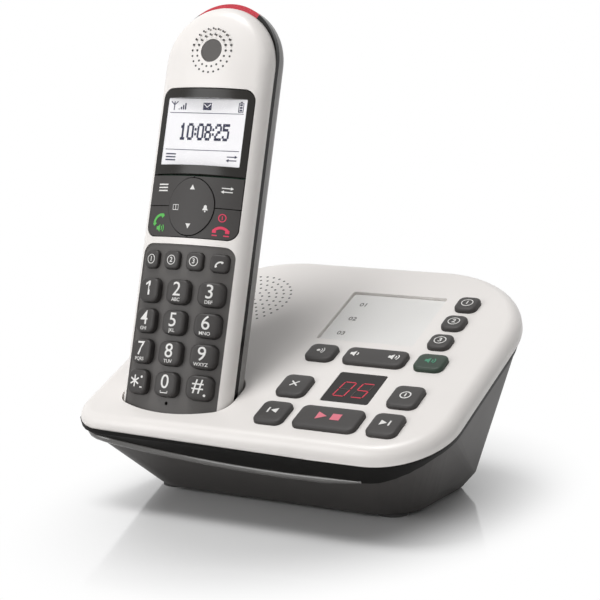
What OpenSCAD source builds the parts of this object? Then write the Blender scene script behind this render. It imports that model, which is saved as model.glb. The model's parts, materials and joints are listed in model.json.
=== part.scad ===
// Cordless telephone: a handset standing in the cradle of its answering base.
// Millimetres. X runs across the base, Y from front to back, Z up from the table.

/* [Base housing] */
// Width of the top cover
base_w = 154; // [150:1:175]
// Length of the top cover along its slope
base_d = 130; // [128:1:145]
// Slope of the control panel in degrees
panel_slope = 22.7; // [20:0.1:25]
// Height of the panel's middle above the table
panel_z = 61; // [59:0.5:70]
// Radius of the front corner beside the handset
left_corner = 13; // [10:1:28]
// Radius of the front corner beside the keys
right_corner = 28; // [20:1:34]
// Radius of the two rear corners of the cover
rear_corner = 46; // [36:1:50]
// Radius of the rolled edge of the cover
edge_roll = 5; // [3:0.5:6]
// Depth of the cover's rim below the panel
rim_depth = 6.5; // [6:0.5:9]
// Wall of the base housing
case_wall = 2.2; // [1.6:0.1:3]
// Width of the underside
foot_w = 117; // [100:1:130]
// Depth of the underside
foot_d = 70; // [60:1:80]
// How far the underside lies behind the middle of the cover
foot_back = 15; // [10:1:20]
// How far the underside lies towards the handset's side
foot_left = 8.8; // [0:0.1:12]
// Corner radius of the underside
foot_corner = 18; // [10:1:28]
// Height of the rounded lower edge of the case
heel_h = 6; // [4:0.5:9]
// How far the rounded lower edge swells past the underside
heel_out = 5; // [3:0.5:8]
// Step from the cover's edge back to the case
case_step = 1.2; // [0.8:0.1:2]

/* [Front band] */
// Height of the recessed band along the front
band_h = 7.4; // [5:0.2:9]
// Where the band starts to fade out towards the handset's corner
band_left = 45; // [40:1:50]
// Where the band starts to fade out towards the other corner
band_right = 41; // [36:1:44]
// Radius of the curve along which it fades out
band_fade = 60; // [50:1:80]
// How far the band is set back from the cover's edge
band_inset = 2.4; // [2:0.1:4]
// Thickness of the band
band_t = 1.8; // [1.2:0.1:2.5]
// Diameter of the bead along the band's lower edge
bead_d = 3.2; // [2:0.2:4]

/* [Handset] */
// Width of the handset
handset_w = 47.6; // [46:0.1:52]
// Length of the handset
handset_l = 167.7; // [158:0.1:176]
// Thickness of the handset at its middle
handset_t = 21.5; // [20:0.5:26]
// Radius of the crowned face
face_r = 62; // [50:1:90]
// Radius of the rolled side edges of the face
side_roll = 6.5; // [4:0.5:8]
// Depth of the front shell at its middle
front_depth = 10.2; // [9:0.1:11]
// How far the tip of the front shell stops short of the ringer light
tip_step = 2.2; // [1:0.1:3]
// Height of the dark band between the shells
seam_h = 2.5; // [1.5:0.1:4]
// Radius of the rear edges
rear_r = 7; // [5:0.5:8]
// Radius of the two lower corners
toe_r = 8; // [4:0.5:12]
// Wall of the handset shells
shell_wall = 1.8; // [1.4:0.1:2.2]
// Angle of the tip that the ringer light fills, in degrees
light_angle = 70; // [50:1:90]
// Lean of the handset from upright in degrees
handset_lean = 14.9; // [12:0.1:17]
// Distance of the handset from the left edge of the cover
handset_in = 39.3; // [38:0.1:44]
// How far below the panel's middle the handset's lengths are counted from
handset_drop = 61; // [58:0.5:64]
// Where the line of the handset's face lies there, from front to back
handset_foot = -59.7; // [-61:0.1:-56]
// Length along that line at which the handset starts
handset_rise = 35.2; // [34:0.1:40]

/* [Cradle] */
// Room round the handset in the cradle
cradle_gap = 0.8; // [0.5:0.1:1.2]
// Wall of the cradle
cradle_wall = 1.8; // [1.4:0.1:2.4]
// Side of a charging contact
contact_w = 4; // [3:0.5:6]
// Distance between the two charging contacts
contact_pitch = 22; // [16:1:28]

/* [Handset face] */
// Width of the dark panels on the face
panel_w = 41.4; // [38:0.2:43]
// Corner radius of the dark panels
panel_r = 4.5; // [2:0.5:6]
// Length of the display window
window_l = 34.5; // [30:0.5:38]
// Length of the block of menu keys
menu_l = 24.5; // [22:0.5:27]
// Width of the white bridge between the menu keys and the number keys
bridge_l = 2.5; // [2:0.1:4]
// Distance from the tip of the handset down to the display window
window_top = 35.8; // [33:0.1:38]
// Length of the number key panel
keypad_l = 67.5; // [64:0.5:69]
// Width of the display glass
lcd_w = 35.6; // [30:0.2:37]
// Length of the display glass
lcd_l = 26.6; // [22:0.2:28]
// Width of the navigation key
nav_w = 20.5; // [18:0.5:22]
// Room above and below the navigation key
nav_in = 0.6; // [0.4:0.1:1]
// How far the navigation key stands out of the face
nav_proud = 0.4; // [0.2:0.1:0.8]
// Thickness of the face panels
panel_t = 2; // [1.5:0.1:2.5]
// Diameter of the microphone hole
mic_d = 1.4; // [1:0.1:2]
// Distance from the foot of the key panel up to the microphone
mic_up = 6; // [5:0.5:7]

/* [Handset keys] */
// Columns of number keys, centre to centre
key_pitch_x = 13.8; // [12.6:0.1:14.2]
// Rows of number keys, centre to centre
key_pitch_y = 11.9; // [11.4:0.1:12.5]
// Width of a number key
key_w = 9.6; // [8.5:0.1:10.5]
// Height of a number key
key_d = 9.1; // [8:0.1:10]
// Corner radius of a number key
key_r = 3; // [1:0.1:4]
// How far the number keys stand out of the face
key_proud = 2.5; // [1:0.1:3]
// Side of the small memory keys
memory_key = 6.6; // [6:0.1:7.6]
// Corner radius of the small memory keys
memory_r = 2; // [1:0.1:3]
// How far the small memory keys stand out
memory_proud = 1.3; // [0.8:0.1:2]
// Memory keys, centre to centre
memory_pitch = 10.1; // [9:0.1:10.4]
// Distance from the top of the key panel to the memory keys
memory_drop = 6.4; // [5.5:0.1:7]
// Distance from the memory keys to the first row of number keys
first_row_drop = 12.2; // [11:0.1:12.8]
// Room round every key
key_gap = 0.35; // [0.25:0.05:0.5]
// Travel of every key
key_travel = 0.7; // [0.4:0.1:1]

/* [Earpiece] */
// Distance from the tip of the handset to the earpiece
ear_drop = 21.1; // [19:0.1:25]
// Diameter of the plain disc in the earpiece
ear_disc_d = 9; // [7:0.5:10]
// How far the disc lies below the face
ear_sink = 0.7; // [0.4:0.1:1]
// Radius of the inner ring of holes
ear_ring_1 = 6.4; // [5.8:0.1:7]
// Radius of the outer ring of holes
ear_ring_2 = 8.7; // [8:0.1:10]
// Diameter of an earpiece hole
ear_hole = 0.9; // [0.6:0.1:1.2]

/* [Battery] */
// Diameter of a cell
cell_d = 10; // [9:0.5:10.5]
// Length of a cell
cell_l = 44.5; // [40:0.5:48]
// Width of the battery door
door_w = 34; // [30:0.5:38]
// Length of the battery door
door_l = 60; // [55:1:66]
// Thickness of the battery door
door_t = 1.6; // [1.2:0.1:2]
// Corner radius of the battery door
door_r = 3; // [2:0.5:5]
// Distance from the door's lower end up to the cells
cell_up = 4; // [3:0.5:8]
// Distance from the handset's foot up to the battery door
door_up = 40; // [36:1:46]
// Thickness of a grip rib on the door
rib_d = 1; // [0.6:0.1:1.4]
// Length of a grip rib
rib_l = 10; // [8:0.5:14]
// Grip ribs, centre to centre
rib_pitch = 2.4; // [2:0.1:3]
// Distance from the door's upper end down to the ribs
rib_drop = 8; // [6:0.5:12]

/* [Base panel] */
// Distance from the handset's side to the left column of keys
column_beside = 20.8; // [18:0.1:23]
// Distance of the right column of keys from the right edge of the cover
column_in = 23.7; // [22:0.1:26]
// Width of a base key
base_key_w = 11.8; // [11:0.1:14]
// Space between a long key and the key beside it
key_space = 4.5; // [3:0.1:6]
// Corner radius of a base key
base_key_r = 3; // [1:0.1:4]
// How far the base keys stand out
base_key_proud = 2; // [1:0.1:3]
// Row of the page, volume and speaker keys
row_a = -6.3; // [-7:0.1:-5]
// Height of a key in that row
row_a_d = 10.4; // [9:0.1:12.4]
// Row of the delete and power keys
row_b = -30.2; // [-31:0.1:-29]
// Row of the previous, play and next keys
row_c = -48.7; // [-49.2:0.1:-47.5]
// Height of a key in the two lower rows
row_c_d = 13.6; // [12:0.1:16.2]
// Space between the message counter window and the key beside it
counter_space = 7.3; // [6:0.1:9]
// Height of the message counter window
counter_d = 20; // [16:0.2:20.4]
// Corner radius of the window and of the label
recess_r = 1; // [0.5:0.1:2]
// Place of the message counter up the slope
counter_y = -26.6; // [-27.5:0.1:-25.5]
// Distance of the memory keys from the right edge of the cover
memory_in = 25.8; // [25:0.1:28]
// Width of a memory key on the base
base_memory_w = 8.9; // [8:0.1:11]
// Height of a memory key on the base
base_memory_d = 9.6; // [8:0.1:12]
// Memory keys on the base, centre to centre
base_memory_pitch = 14.2; // [13:0.1:15]
// Place of the middle memory key up the slope
base_memory_y = 22.6; // [22:0.1:25]
// Width of the directory label
label_w = 42; // [36:0.5:44]
// Length of the directory label
label_d = 36.8; // [32:0.5:38]
// Distance of the label's middle from the right edge of the cover
label_in = 57.4; // [56:0.1:59]
// Place of the label up the slope
label_y = 23.4; // [22:0.1:25]
// Thickness of the clear label cover
label_cover_t = 0.9; // [0.6:0.1:1.2]
// Thickness of the paper label
label_card_t = 0.4; // [0.2:0.1:0.6]
// Width of a finger notch in the label cover
notch_w = 5.6; // [4:0.2:8]
// Depth of a finger notch
notch_d = 1.3; // [0.8:0.1:2]
// Finger notches, centre to centre
notch_pitch = 23.5; // [18:0.5:28]
// Distance from the edge of the counter window to its display module
led_in = 1.5; // [1:0.1:3]

/* [Speaker] */
// Distance of the speaker from the left edge of the cover
speaker_in = 31.3; // [30:0.1:33]
// Place of the speaker up the slope
speaker_y = 29.5; // [27:0.1:31]
// Radius of the grille
grille_r = 20.5; // [18:0.5:21]
// Rings of holes in the grille
grille_rings = 6; // [4:1:6]
// Diameter of a grille hole
grille_hole = 1.1; // [0.8:0.1:1.4]
// Plain edge round the holes of the grille
grille_edge = 2; // [1.5:0.1:3]
// Diameter of the speaker's magnet
magnet_d = 18; // [14:0.5:22]
// Thickness of the speaker's magnet
magnet_t = 5; // [4:0.5:7]
// Depth of the speaker's basket
basket_h = 9; // [8:0.5:12]
// Thickness of the speaker's frame
frame_t = 3; // [2:0.5:4]
// Width of the speaker's rim
speaker_rim = 2; // [1.5:0.1:3]
// Diameter of the speaker's dust cap
cap_d = 12; // [8:0.5:14]

/* [Sockets and feet] */
// Width of a socket
socket_w = 14; // [12:0.5:18]
// Height of a socket
socket_h = 13; // [12:0.5:16]
// Depth of a socket
socket_l = 13; // [11:0.5:16]
// Width of the opening of a socket
jack_w = 9.8; // [8:0.2:10]
// Height of the opening of a socket
jack_h = 7; // [6:0.2:8]
// Depth of the opening of a socket
jack_l = 10; // [8:0.5:10.5]
// Distance of the sockets from the middle
socket_x = 26; // [18:1:34]
// Height of the sockets above the table
socket_z = 18; // [16:0.5:24]
// How far a socket stands out of the rear wall
socket_out = 1.2; // [0.8:0.1:2]
// Diameter of a foot
pad_d = 12; // [8:0.5:14]
// Height of a foot
pad_h = 1.6; // [1:0.1:3]
// Diameter of a screw head
screw_head = 6; // [4:0.5:7]
// Diameter of a screw's thread
screw_d = 3; // [2:0.5:4]
// Length of a screw
screw_l = 9; // [6:0.5:12]
// Distance from the end of the underside to a foot's edge
pad_in = 4; // [2:0.5:8]
// Distance from a foot's edge to the screw beside it
screw_in = 10; // [8:0.5:14]
// Height of the latch notch in a socket
latch_h = 1.6; // [1:0.1:2]

/* [Hidden] */
$fn = 64;
eps = 0.05;
// A rounded corner passes its side by this much, so that the two meet at a true edge
graze = 0.02;
big = 400;
// Reach of a cutting form on each side of a face
cut = 20;
// How far a cutting form passes the face that it opens
over = 1;
clip = 0.15;
part_gap = 0.3;

handset_x = handset_in - base_w / 2;
half_w = handset_w / 2;
face_top = 1.5;
roll_x = half_w - side_roll;
roll_z = face_top - face_r + sqrt(pow(face_r - side_roll, 2) - roll_x * roll_x);
split_z = face_top - front_depth;
rear_z = face_top - handset_t;
seam_z = split_z - seam_h;
toe_y = handset_rise;
tip_y = toe_y + handset_l;
arch_y = tip_y - half_w;

window_y1 = tip_y - window_top;
window_y0 = window_y1 - window_l;
menu_y1 = window_y0 - clip;
menu_y0 = menu_y1 - menu_l;
keypad_y1 = menu_y0 - bridge_l;
keypad_y0 = keypad_y1 - keypad_l;
memory_y = keypad_y1 - memory_drop;
first_row = memory_y - first_row_drop;
nav_y = (menu_y0 + menu_y1) / 2;
nav_l = menu_l - 2 * nav_in;
ear_y = tip_y - ear_drop;
key_flange = 0.8;
flange_t = 1;
rocker_flange = 8;
post_d = 2.2;
key_base = -panel_t - 2.6;
pcb_t = 1.2;
board_r = 2;
board_z = key_base - key_travel - part_gap - pcb_t;

// The base is centred on the origin from front to back
front_reach = (base_d / 2 - edge_roll) * cos(panel_slope) - edge_roll * sin(panel_slope) + edge_roll;
back_reach = base_d / 2 * cos(panel_slope) + rim_depth * sin(panel_slope);
panel_y = (front_reach - back_reach) / 2;
foot_y = foot_back + panel_y;

case_top = -rim_depth - part_gap;
foot_x = -foot_left;
left_column = handset_x + half_w + column_beside;
right_column = base_w / 2 - column_in;
key_column = (left_column + right_column) / 2;
base_pitch = (right_column - left_column) / 2;
long_key_w = 2 * (base_pitch - key_space) - base_key_w;
counter_w = 2 * (base_pitch - counter_space) - base_key_w;
memory_column = base_w / 2 - memory_in;
label_x = base_w / 2 - label_in;
speaker_x = speaker_in - base_w / 2;
speaker_r = grille_r - part_gap;
label_recess = label_card_t + label_cover_t + part_gap;
base_key_base = -case_wall - part_gap - flange_t;
base_board_z = base_key_base - key_travel - part_gap - pcb_t;
rear_wall_y = foot_y + foot_d / 2 + heel_out;
socket_y = rear_wall_y + socket_out;

NUMBER_KEYS = ["key_1", "key_2", "key_3", "key_4", "key_5", "key_6",
    "key_7", "key_8", "key_9", "key_star", "key_0", "key_hash"];
MEMORY_KEYS = ["memory_key_1", "memory_key_2", "memory_key_3", "recall_key"];
MENU_KEYS = ["menu_key", "option_key", "talk_key", "end_key"];

// Name, place across, place up the slope, width, height of every key on the base
BASE_KEYS = [
    ["base_memory_key_1", memory_column, base_memory_y + base_memory_pitch, base_memory_w, base_memory_d],
    ["base_memory_key_2", memory_column, base_memory_y, base_memory_w, base_memory_d],
    ["base_memory_key_3", memory_column, base_memory_y - base_memory_pitch, base_memory_w, base_memory_d],
    ["page_key", left_column, row_a, base_key_w, row_a_d],
    ["volume_key", key_column, row_a, long_key_w, row_a_d],
    ["speaker_key", right_column, row_a, base_key_w, row_a_d],
    ["delete_key", left_column, row_b, base_key_w, row_c_d],
    ["power_key", right_column, row_b, base_key_w, row_c_d],
    ["previous_key", left_column, row_c, base_key_w, row_c_d],
    ["play_key", key_column, row_c, long_key_w, row_c_d],
    ["next_key", right_column, row_c, base_key_w, row_c_d]
];

// Frame of the control panel: X across, Y up the slope, Z out of it
module on_panel(x = 0, y = 0, z = 0) {
    translate([0, panel_y, panel_z]) rotate([panel_slope, 0, 0]) translate([x, y, z]) children();
}

// Frame of the handset: X across, Y along it from below, Z out of its face
module in_handset(x = 0, y = 0, z = 0) {
    translate([handset_x, handset_foot + panel_y, panel_z - handset_drop])
        rotate([90 - handset_lean, 0, 0]) translate([x, y, z]) children();
}

module rounded_rect(w, d, r) {
    square([w - 2 * r, d], center = true);
    square([w, d - 2 * r], center = true);
    for (x = [-1, 1], y = [-1, 1])
        translate([x * (w / 2 - r), y * (d / 2 - r)]) circle(r);
}

module rounded_prism(w, d, r, z0, z1) {
    translate([0, 0, z0]) linear_extrude(z1 - z0) rounded_rect(w, d, r);
}

// Outline of the base, seen square to the panel
module base_outline(inset) {
    w = base_w / 2 - inset;
    d = base_d / 2 - inset;
    rl = left_corner - inset;
    rr = right_corner - inset;
    rb = rear_corner - inset;
    translate([-w, rl - d]) square([w, 2 * d - rl - rb]);
    translate([0, rr - d]) square([w, 2 * d - rr - rb]);
    translate([rl - w, -d]) square([2 * w - rl - rr, d]);
    translate([rb - w, 0]) square([2 * (w - rb), d]);
    translate([rl - w, rl - d]) circle(rl);
    translate([w - rr, rr - d]) circle(rr);
    for (s = [-1, 1]) translate([s * (w - rb), d - rb]) circle(rb);
}

// Half of the cover's section: flat top that rolls over into the rim
module rim_profile(r, top, bottom, roll) {
    translate([0, bottom]) square([r, top - roll - bottom]);
    translate([0, bottom]) square([r - roll, top - bottom]);
    translate([r - roll, top - roll]) intersection() {
        circle(roll);
        square(roll);
    }
}

// The cover's form, swept round the base outline
module rolled_slab(inset, bottom) {
    w = base_w / 2 - inset;
    d = base_d / 2 - inset;
    rl = left_corner - inset;
    rr = right_corner - inset;
    rb = rear_corner - inset;
    roll = edge_roll - inset;
    translate([0, d - rb, 0]) rotate([90, 0, 0]) {
        linear_extrude(2 * d - rr - rb) rim_profile(w, -inset, bottom, roll);
        linear_extrude(2 * d - rl - rb) mirror([1, 0]) rim_profile(w, -inset, bottom, roll);
    }
    translate([w - rr, 0, 0]) rotate([90, 0, -90]) linear_extrude(2 * w - rl - rr)
        rim_profile(d, -inset, bottom, roll);
    translate([rb - w, 0, 0]) rotate([90, 0, 90]) linear_extrude(2 * (w - rb))
        rim_profile(d, -inset, bottom, roll);
    for (s = [0, 1]) {
        rf = s == 0 ? rl : rr;
        translate([(1 - 2 * s) * (w - rb), d - rb, 0]) rotate([0, 0, 90 * s])
            rotate_extrude(angle = 90) rim_profile(rb, -inset, bottom, roll);
        translate([(2 * s - 1) * (w - rf), rf - d, 0]) rotate([0, 0, 180 + 90 * s])
            rotate_extrude(angle = 90) rim_profile(rf, -inset, bottom, roll);
    }
}

// The handset's section: crowned face with rolled sides, rounded edges behind, grown all round by a margin
module handset_section(grow) {
    w = half_w + grow;
    r = rear_r + grow;
    back = rear_z - grow;
    crown = roll_x + (side_roll + grow) * roll_x / (face_r - side_roll);
    intersection() {
        translate([0, face_top - face_r]) circle(face_r + grow, $fn = 180);
        translate([-crown, split_z]) square([2 * crown, front_depth + grow + over]);
    }
    for (s = [-1, 1]) translate([s * roll_x, roll_z]) circle(side_roll + grow + graze);
    translate([-w, back + r]) square([2 * w, roll_z - back - r]);
    translate([r - w, back]) square([2 * (w - r), split_z - back]);
    for (s = [-1, 1]) translate([s * (w - r), back + r]) circle(r);
}

// The handset's form from its foot to its round tip, between two depths
module handset_form(grow, foot, z0, z1, short) {
    module slice(side) {
        intersection() {
            handset_section(grow);
            translate([-side * big, z0]) square([(1 + side) * big, z1 - z0]);
        }
    }
    translate([0, arch_y - short, 0]) {
        rotate([90, 0, 0]) linear_extrude(arch_y - short - foot) slice(1);
        rotate_extrude(angle = 180) slice(0);
    }
}

// The same form with its two lower corners rounded
module handset_body(grow, z0, z1, short = 0) {
    r = toe_r + grow;
    difference() {
        handset_form(grow, toe_y - grow, z0, z1, short);
        for (s = [-1, 1]) translate([s * (half_w - toe_r), toe_y + toe_r, z0 - over]) difference() {
            translate([s > 0 ? 0 : -2 * r, -2 * r, 0]) cube([2 * r, 2 * r, z1 - z0 + 2 * over]);
            translate([0, 0, -over]) cylinder(r = r + graze, h = z1 - z0 + 4 * over);
        }
    }
}

// A handset shell between two depths, open towards the other shell
module handset_shell(z0, z1, open0, open1, wall = shell_wall, short = 0) {
    difference() {
        handset_body(0, z0, z1, short);
        handset_body(-wall, z0 - open0, z1 + open1, short);
    }
}

// A solid slice of the handset's crowned face, raised by a margin
module face_slice(raise, depth) {
    difference() {
        face_roll(raise);
        face_roll(raise - depth);
    }
}

module face_roll(raise) {
    translate([0, 0, face_top - face_r]) rotate([-90, 0, 0])
        cylinder(r = face_r + raise, h = tip_y, $fn = 180);
}

// Outline of a dark panel on the face, round at its upper or its lower corners
module panel_outline(y0, y1, round_top, round_foot, shrink = 0) {
    w = panel_w / 2 - shrink;
    for (s = [-1, 1]) {
        translate([s * (w - panel_r), y1 - shrink - panel_r]) circle(panel_r);
        translate([s * (w - panel_r), y0 + shrink + panel_r]) circle(panel_r);
    }
    translate([panel_r - w, y0 + shrink]) square([2 * (w - panel_r), y1 - y0 - 2 * shrink]);
    translate([-w, y0 + shrink + (round_foot ? panel_r : 0)])
        square([2 * w, y1 - y0 - 2 * shrink - (round_top ? panel_r : 0) - (round_foot ? panel_r : 0)]);
}

module through(z0 = -cut, z1 = cut) {
    translate([0, 0, z0]) linear_extrude(z1 - z0) children();
}

module nav_outline(grow) {
    h = nav_l / 2 + grow;
    w = nav_w / 2 + grow;
    bow = (w * w + h * h) / (2 * w);
    intersection() {
        translate([w - bow, nav_y]) circle(bow, $fn = 120);
        translate([bow - w, nav_y]) circle(bow, $fn = 120);
        translate([0, nav_y]) circle(h - key_gap, $fn = 120);
    }
}

// Height of the crowned face at a distance from its middle line, raised by a margin
function face_z(x, raise) = face_top - face_r + sqrt(pow(face_r + raise, 2) - x * x);
function number_x(i) = ((i % 3) - 1) * key_pitch_x;
function number_y(i) = first_row - floor(i / 3) * key_pitch_y;
function memory_x(i) = (i - 1.5) * memory_pitch;

// Handset shells and trim

module handset_front_shell() color("whitesmoke") in_handset() difference() {
    handset_shell(split_z, face_top + over, over, 0, shell_wall, tip_step);
    through() panel_outline(window_y0, window_y1, true, false);
    through() panel_outline(menu_y0, window_y0, false, true);
    through() panel_outline(keypad_y0, keypad_y1, true, true);
    translate([0, ear_y, -cut / 2]) cylinder(d = ear_disc_d + 2 * clip, h = cut);
    for (ring = [[18, ear_ring_1], [24, ear_ring_2]], i = [0:ring[0] - 1])
        rotate_about_ear(i * 360 / ring[0], ring[1]) cylinder(d = ear_hole, h = cut, $fn = 16);
}

module rotate_about_ear(angle, r) {
    translate([0, ear_y, -cut / 2]) rotate([0, 0, angle]) translate([r, 0, 0]) children();
}

module handset_rear_shell() color("gray") in_handset() difference() {
    handset_shell(rear_z - over, seam_z, 0, over);
    translate([0, toe_y + door_up + door_l / 2, 0])
        rounded_prism(door_w + 2 * part_gap, door_l + 2 * part_gap, door_r + part_gap,
                      rear_z - cut, rear_z + shell_wall + over);
    for (s = [-1, 1]) translate([s * contact_pitch / 2, toe_y, contact_z()])
        cube([contact_w + 2 * clip, 4 * shell_wall, contact_w + 2 * clip], center = true);
}

function contact_z() = (seam_z + rear_z) / 2;

module light_wedge() {
    translate([0, arch_y, -cut]) rotate([0, 0, 90 - light_angle / 2])
        rotate_extrude(angle = light_angle) square([handset_w, cut]);
}

module handset_side_band() color("black") in_handset() difference() {
    handset_shell(seam_z, split_z, over, over, shell_wall + tip_step);
    light_wedge();
}

module ringer_light() color("red") in_handset() intersection() {
    handset_shell(seam_z, split_z, over, over, shell_wall + tip_step);
    light_wedge();
}

module earpiece_disc() color("dimgray") in_handset(0, ear_y, face_top - panel_t)
    cylinder(d = ear_disc_d, h = panel_t - ear_sink);

module earpiece_speaker() color("silver") in_handset(0, ear_y, face_top - 2 * panel_t - 1) {
    cylinder(r = ear_ring_2 + 1.5, h = panel_t - 1);
    translate([0, 0, -2]) cylinder(r = ear_ring_1, h = 2 + eps);
}

module display_window() color("black") in_handset() intersection() {
    face_slice(0, panel_t);
    through() panel_outline(window_y0, window_y1, true, false, clip);
}

module lcd_module() color("lightgray") in_handset(0, (window_y0 + window_y1) / 2)
    rounded_prism(lcd_w, lcd_l, 0.8, board_z + pcb_t, face_z(lcd_w / 2, -panel_t) - clip);

module keypad_mat() color("dimgray") in_handset() difference() {
    intersection() {
        face_slice(-0.5, panel_t);
        through() panel_outline(keypad_y0, keypad_y1, true, true, clip);
    }
    for (i = [0:3]) translate([memory_x(i), memory_y, 0])
        rounded_prism(memory_key + 2 * key_gap, memory_key + 2 * key_gap, memory_r, -cut, cut);
    for (i = [0:11]) translate([number_x(i), number_y(i), 0])
        rounded_prism(key_w + 2 * key_gap, key_d + 2 * key_gap, key_r, -cut, cut);
    translate([0, keypad_y0 + mic_up, -cut]) cylinder(d = mic_d, h = 2 * cut);
}

// Handset keys

module crowned_key(x, y, w, d, r, raise) {
    in_handset() intersection() {
        face_roll(raise);
        translate([x, y, 0]) rounded_prism(w, d, r, key_base, cut);
    }
}

module number_key(i) color("dimgray")
    crowned_key(number_x(i), number_y(i), key_w, key_d, key_r, key_proud);

module memory_row_key(i) color("dimgray")
    crowned_key(memory_x(i), memory_y, memory_key, memory_key, memory_r, memory_proud);

module nav_key() color("dimgray") in_handset() intersection() {
    face_roll(nav_proud);
    through(key_base) nav_outline(-key_gap / 2);
}

// The block round the navigation key is cut into four keys, left and right, above and below
module menu_block_key(i) color("dimgray") in_handset() difference() {
    intersection() {
        face_roll(0);
        through(key_base) panel_outline(menu_y0, menu_y1, false, true, key_gap);
        translate([0, nav_y, key_base]) mirror([1 - i % 2, 0, 0]) mirror([0, i < 2 ? 0 : 1, 0])
            translate([key_gap / 2, key_gap / 2, 0]) cube(big);
    }
    through() nav_outline(key_gap / 2);
}

// Inside the handset

module handset_pcb() color("darkgreen") in_handset()
    handset_body(-shell_wall - part_gap, board_z, board_z + pcb_t, tip_step);

module battery_cells() color("seagreen") in_handset(0, toe_y + door_up + cell_up, cell_z()) for (s = [-1, 1])
    translate([s * (cell_d / 2 + clip), 0, 0]) rotate([-90, 0, 0]) {
        cylinder(d = cell_d, h = cell_l);
        translate([0, 0, cell_l - eps]) cylinder(d = cell_d / 3, h = 1);
    }

function cell_z() = rear_z + door_t + part_gap + cell_d / 2;

module battery_door() color("gray") in_handset(0, toe_y + door_up + door_l / 2, 0) {
    rounded_prism(door_w, door_l, door_r, rear_z, rear_z + door_t);
    for (i = [-1:1]) translate([0, door_l / 2 - rib_drop + rib_pitch * i, rear_z]) rotate([0, 90, 0])
        cylinder(d = rib_d, h = rib_l, center = true, $fn = 16);
}

module handset_charge_contacts() color("gold") in_handset() for (s = [-1, 1])
    translate([s * contact_pitch / 2, toe_y + shell_wall / 2, contact_z()])
        cube([contact_w, shell_wall, contact_w], center = true);

// Base housing

module cradle_block(grow) {
    in_handset() translate([0, tip_y, 0]) rotate([90, 0, 0])
        linear_extrude(tip_y - toe_y + grow) handset_section(grow);
}

module base_key_hole(k, margin) {
    on_panel(k[1], k[2])
        rounded_prism(k[3] + 2 * margin, k[4] + 2 * margin, base_key_r + margin, -2 * rim_depth, rim_depth);
}

module board_post(x, y) {
    on_panel(x, y, base_board_z + pcb_t) cylinder(d = post_d, h = -base_board_z - pcb_t - case_wall + eps);
}

module base_top_cover() color("whitesmoke") difference() {
    union() {
        on_panel() difference() {
            rolled_slab(0, -rim_depth);
            rolled_slab(case_wall, -rim_depth - over);
        }
        intersection() {
            cradle_block(cradle_gap + cradle_wall);
            on_panel() union() {
                translate([0, 0, -rim_depth]) linear_extrude(rim_depth) base_outline(edge_roll);
                translate([0, 0, -panel_z]) linear_extrude(panel_z - rim_depth + eps)
                    base_outline(band_inset + band_t + part_gap);
            }
        }
        on_panel(label_x, label_y)
            rounded_prism(label_w + 2 * case_wall, label_d + 2 * case_wall, recess_r + case_wall,
                          -label_recess - case_wall, -eps);
        for (x = board_posts_x(), y = board_posts_y()) board_post(x, y);
    }
    cradle_block(cradle_gap);
    on_panel(label_x, label_y) rounded_prism(label_w, label_d, recess_r, -label_recess, cut);
    on_panel(key_column, counter_y) rounded_prism(counter_w, counter_d, recess_r, -cut, cut);
    on_panel(speaker_x, speaker_y, -cut) cylinder(r = grille_r + clip, h = 2 * cut);
    for (k = BASE_KEYS) base_key_hole(k, key_gap);
    for (s = [-1, 1]) in_handset(s * contact_pitch / 2, toe_y - cradle_gap - cradle_wall, contact_z())
        cube([contact_w, 4 * cradle_wall, contact_w], center = true);
}

function board_posts_x() = [key_column - base_pitch / 2, key_column + base_pitch / 2];
function board_posts_y() = [
    (row_c + row_c_d / 2 + key_flange + counter_y - counter_d / 2) / 2,
    (row_a - row_a_d / 2 - key_flange + counter_y + counter_d / 2) / 2];

// The lower case is lofted from the sloping rim down to the smaller underside
module case_form(inset, top) {
    hull() {
        on_panel(0, 0, case_top - over) linear_extrude(over + top) base_outline(case_step + inset, $fn = 48);
        translate([foot_x, foot_y, pad_h + heel_h]) linear_extrude(eps)
            rounded_rect(foot_w + 2 * (heel_out - inset), foot_d + 2 * (heel_out - inset),
                         foot_corner + heel_out - inset, $fn = 48);
        translate([foot_x, foot_y, pad_h + inset]) linear_extrude(eps)
            rounded_rect(foot_w - 2 * inset, foot_d - 2 * inset, foot_corner - inset, $fn = 48);
    }
}

// The front recess fades out towards the corners along two wide arcs
module band_recess(shrink) {
    r = band_fade - shrink;
    reach = right_corner + cut;
    on_panel(0, reach - base_d / 2 - cut, case_top - band_h) rotate([90, 0, 0]) linear_extrude(reach)
    intersection() {
        union() {
            translate([-band_left, shrink]) square([band_left + band_right, band_fade]);
            translate([-band_left, band_fade]) circle(r, $fn = 180);
            translate([band_right, band_fade]) circle(r, $fn = 180);
        }
        translate([-base_w, 0]) square([2 * base_w, band_h + cut]);
    }
}

module base_lower_case() color("dimgray") difference() {
    case_form(0, 0);
    case_form(case_wall, 3 * over);
    band_recess(0);
    for (s = [-1, 1]) translate([foot_x + s * socket_x, socket_y - socket_l / 2, socket_z])
        cube([socket_w + 2 * clip, 3 * socket_l, socket_h + 2 * clip], center = true);
    for (p = screw_places()) translate([p[0], p[1], -over]) {
        cylinder(d = screw_d + 2 * clip, h = cut / 2);
        cylinder(d = screw_head + 2 * clip, h = pad_h + over + case_wall / 2);
    }
}

module base_rim_band() color("black") {
    intersection() {
        on_panel(0, 0, case_top - band_h - over) linear_extrude(band_h + over + part_gap) difference() {
            base_outline(band_inset);
            base_outline(band_inset + band_t);
        }
        band_recess(clip);
    }
    on_panel(0, bead_d / 4 + band_inset - base_d / 2, case_top - band_h + clip + bead_d / 2) {
        translate([-band_left, 0, 0]) rotate([0, 90, 0]) cylinder(d = bead_d, h = band_left + band_right);
        for (x = [-band_left, band_right]) translate([x, 0, 0]) sphere(d = bead_d);
    }
}

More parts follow.
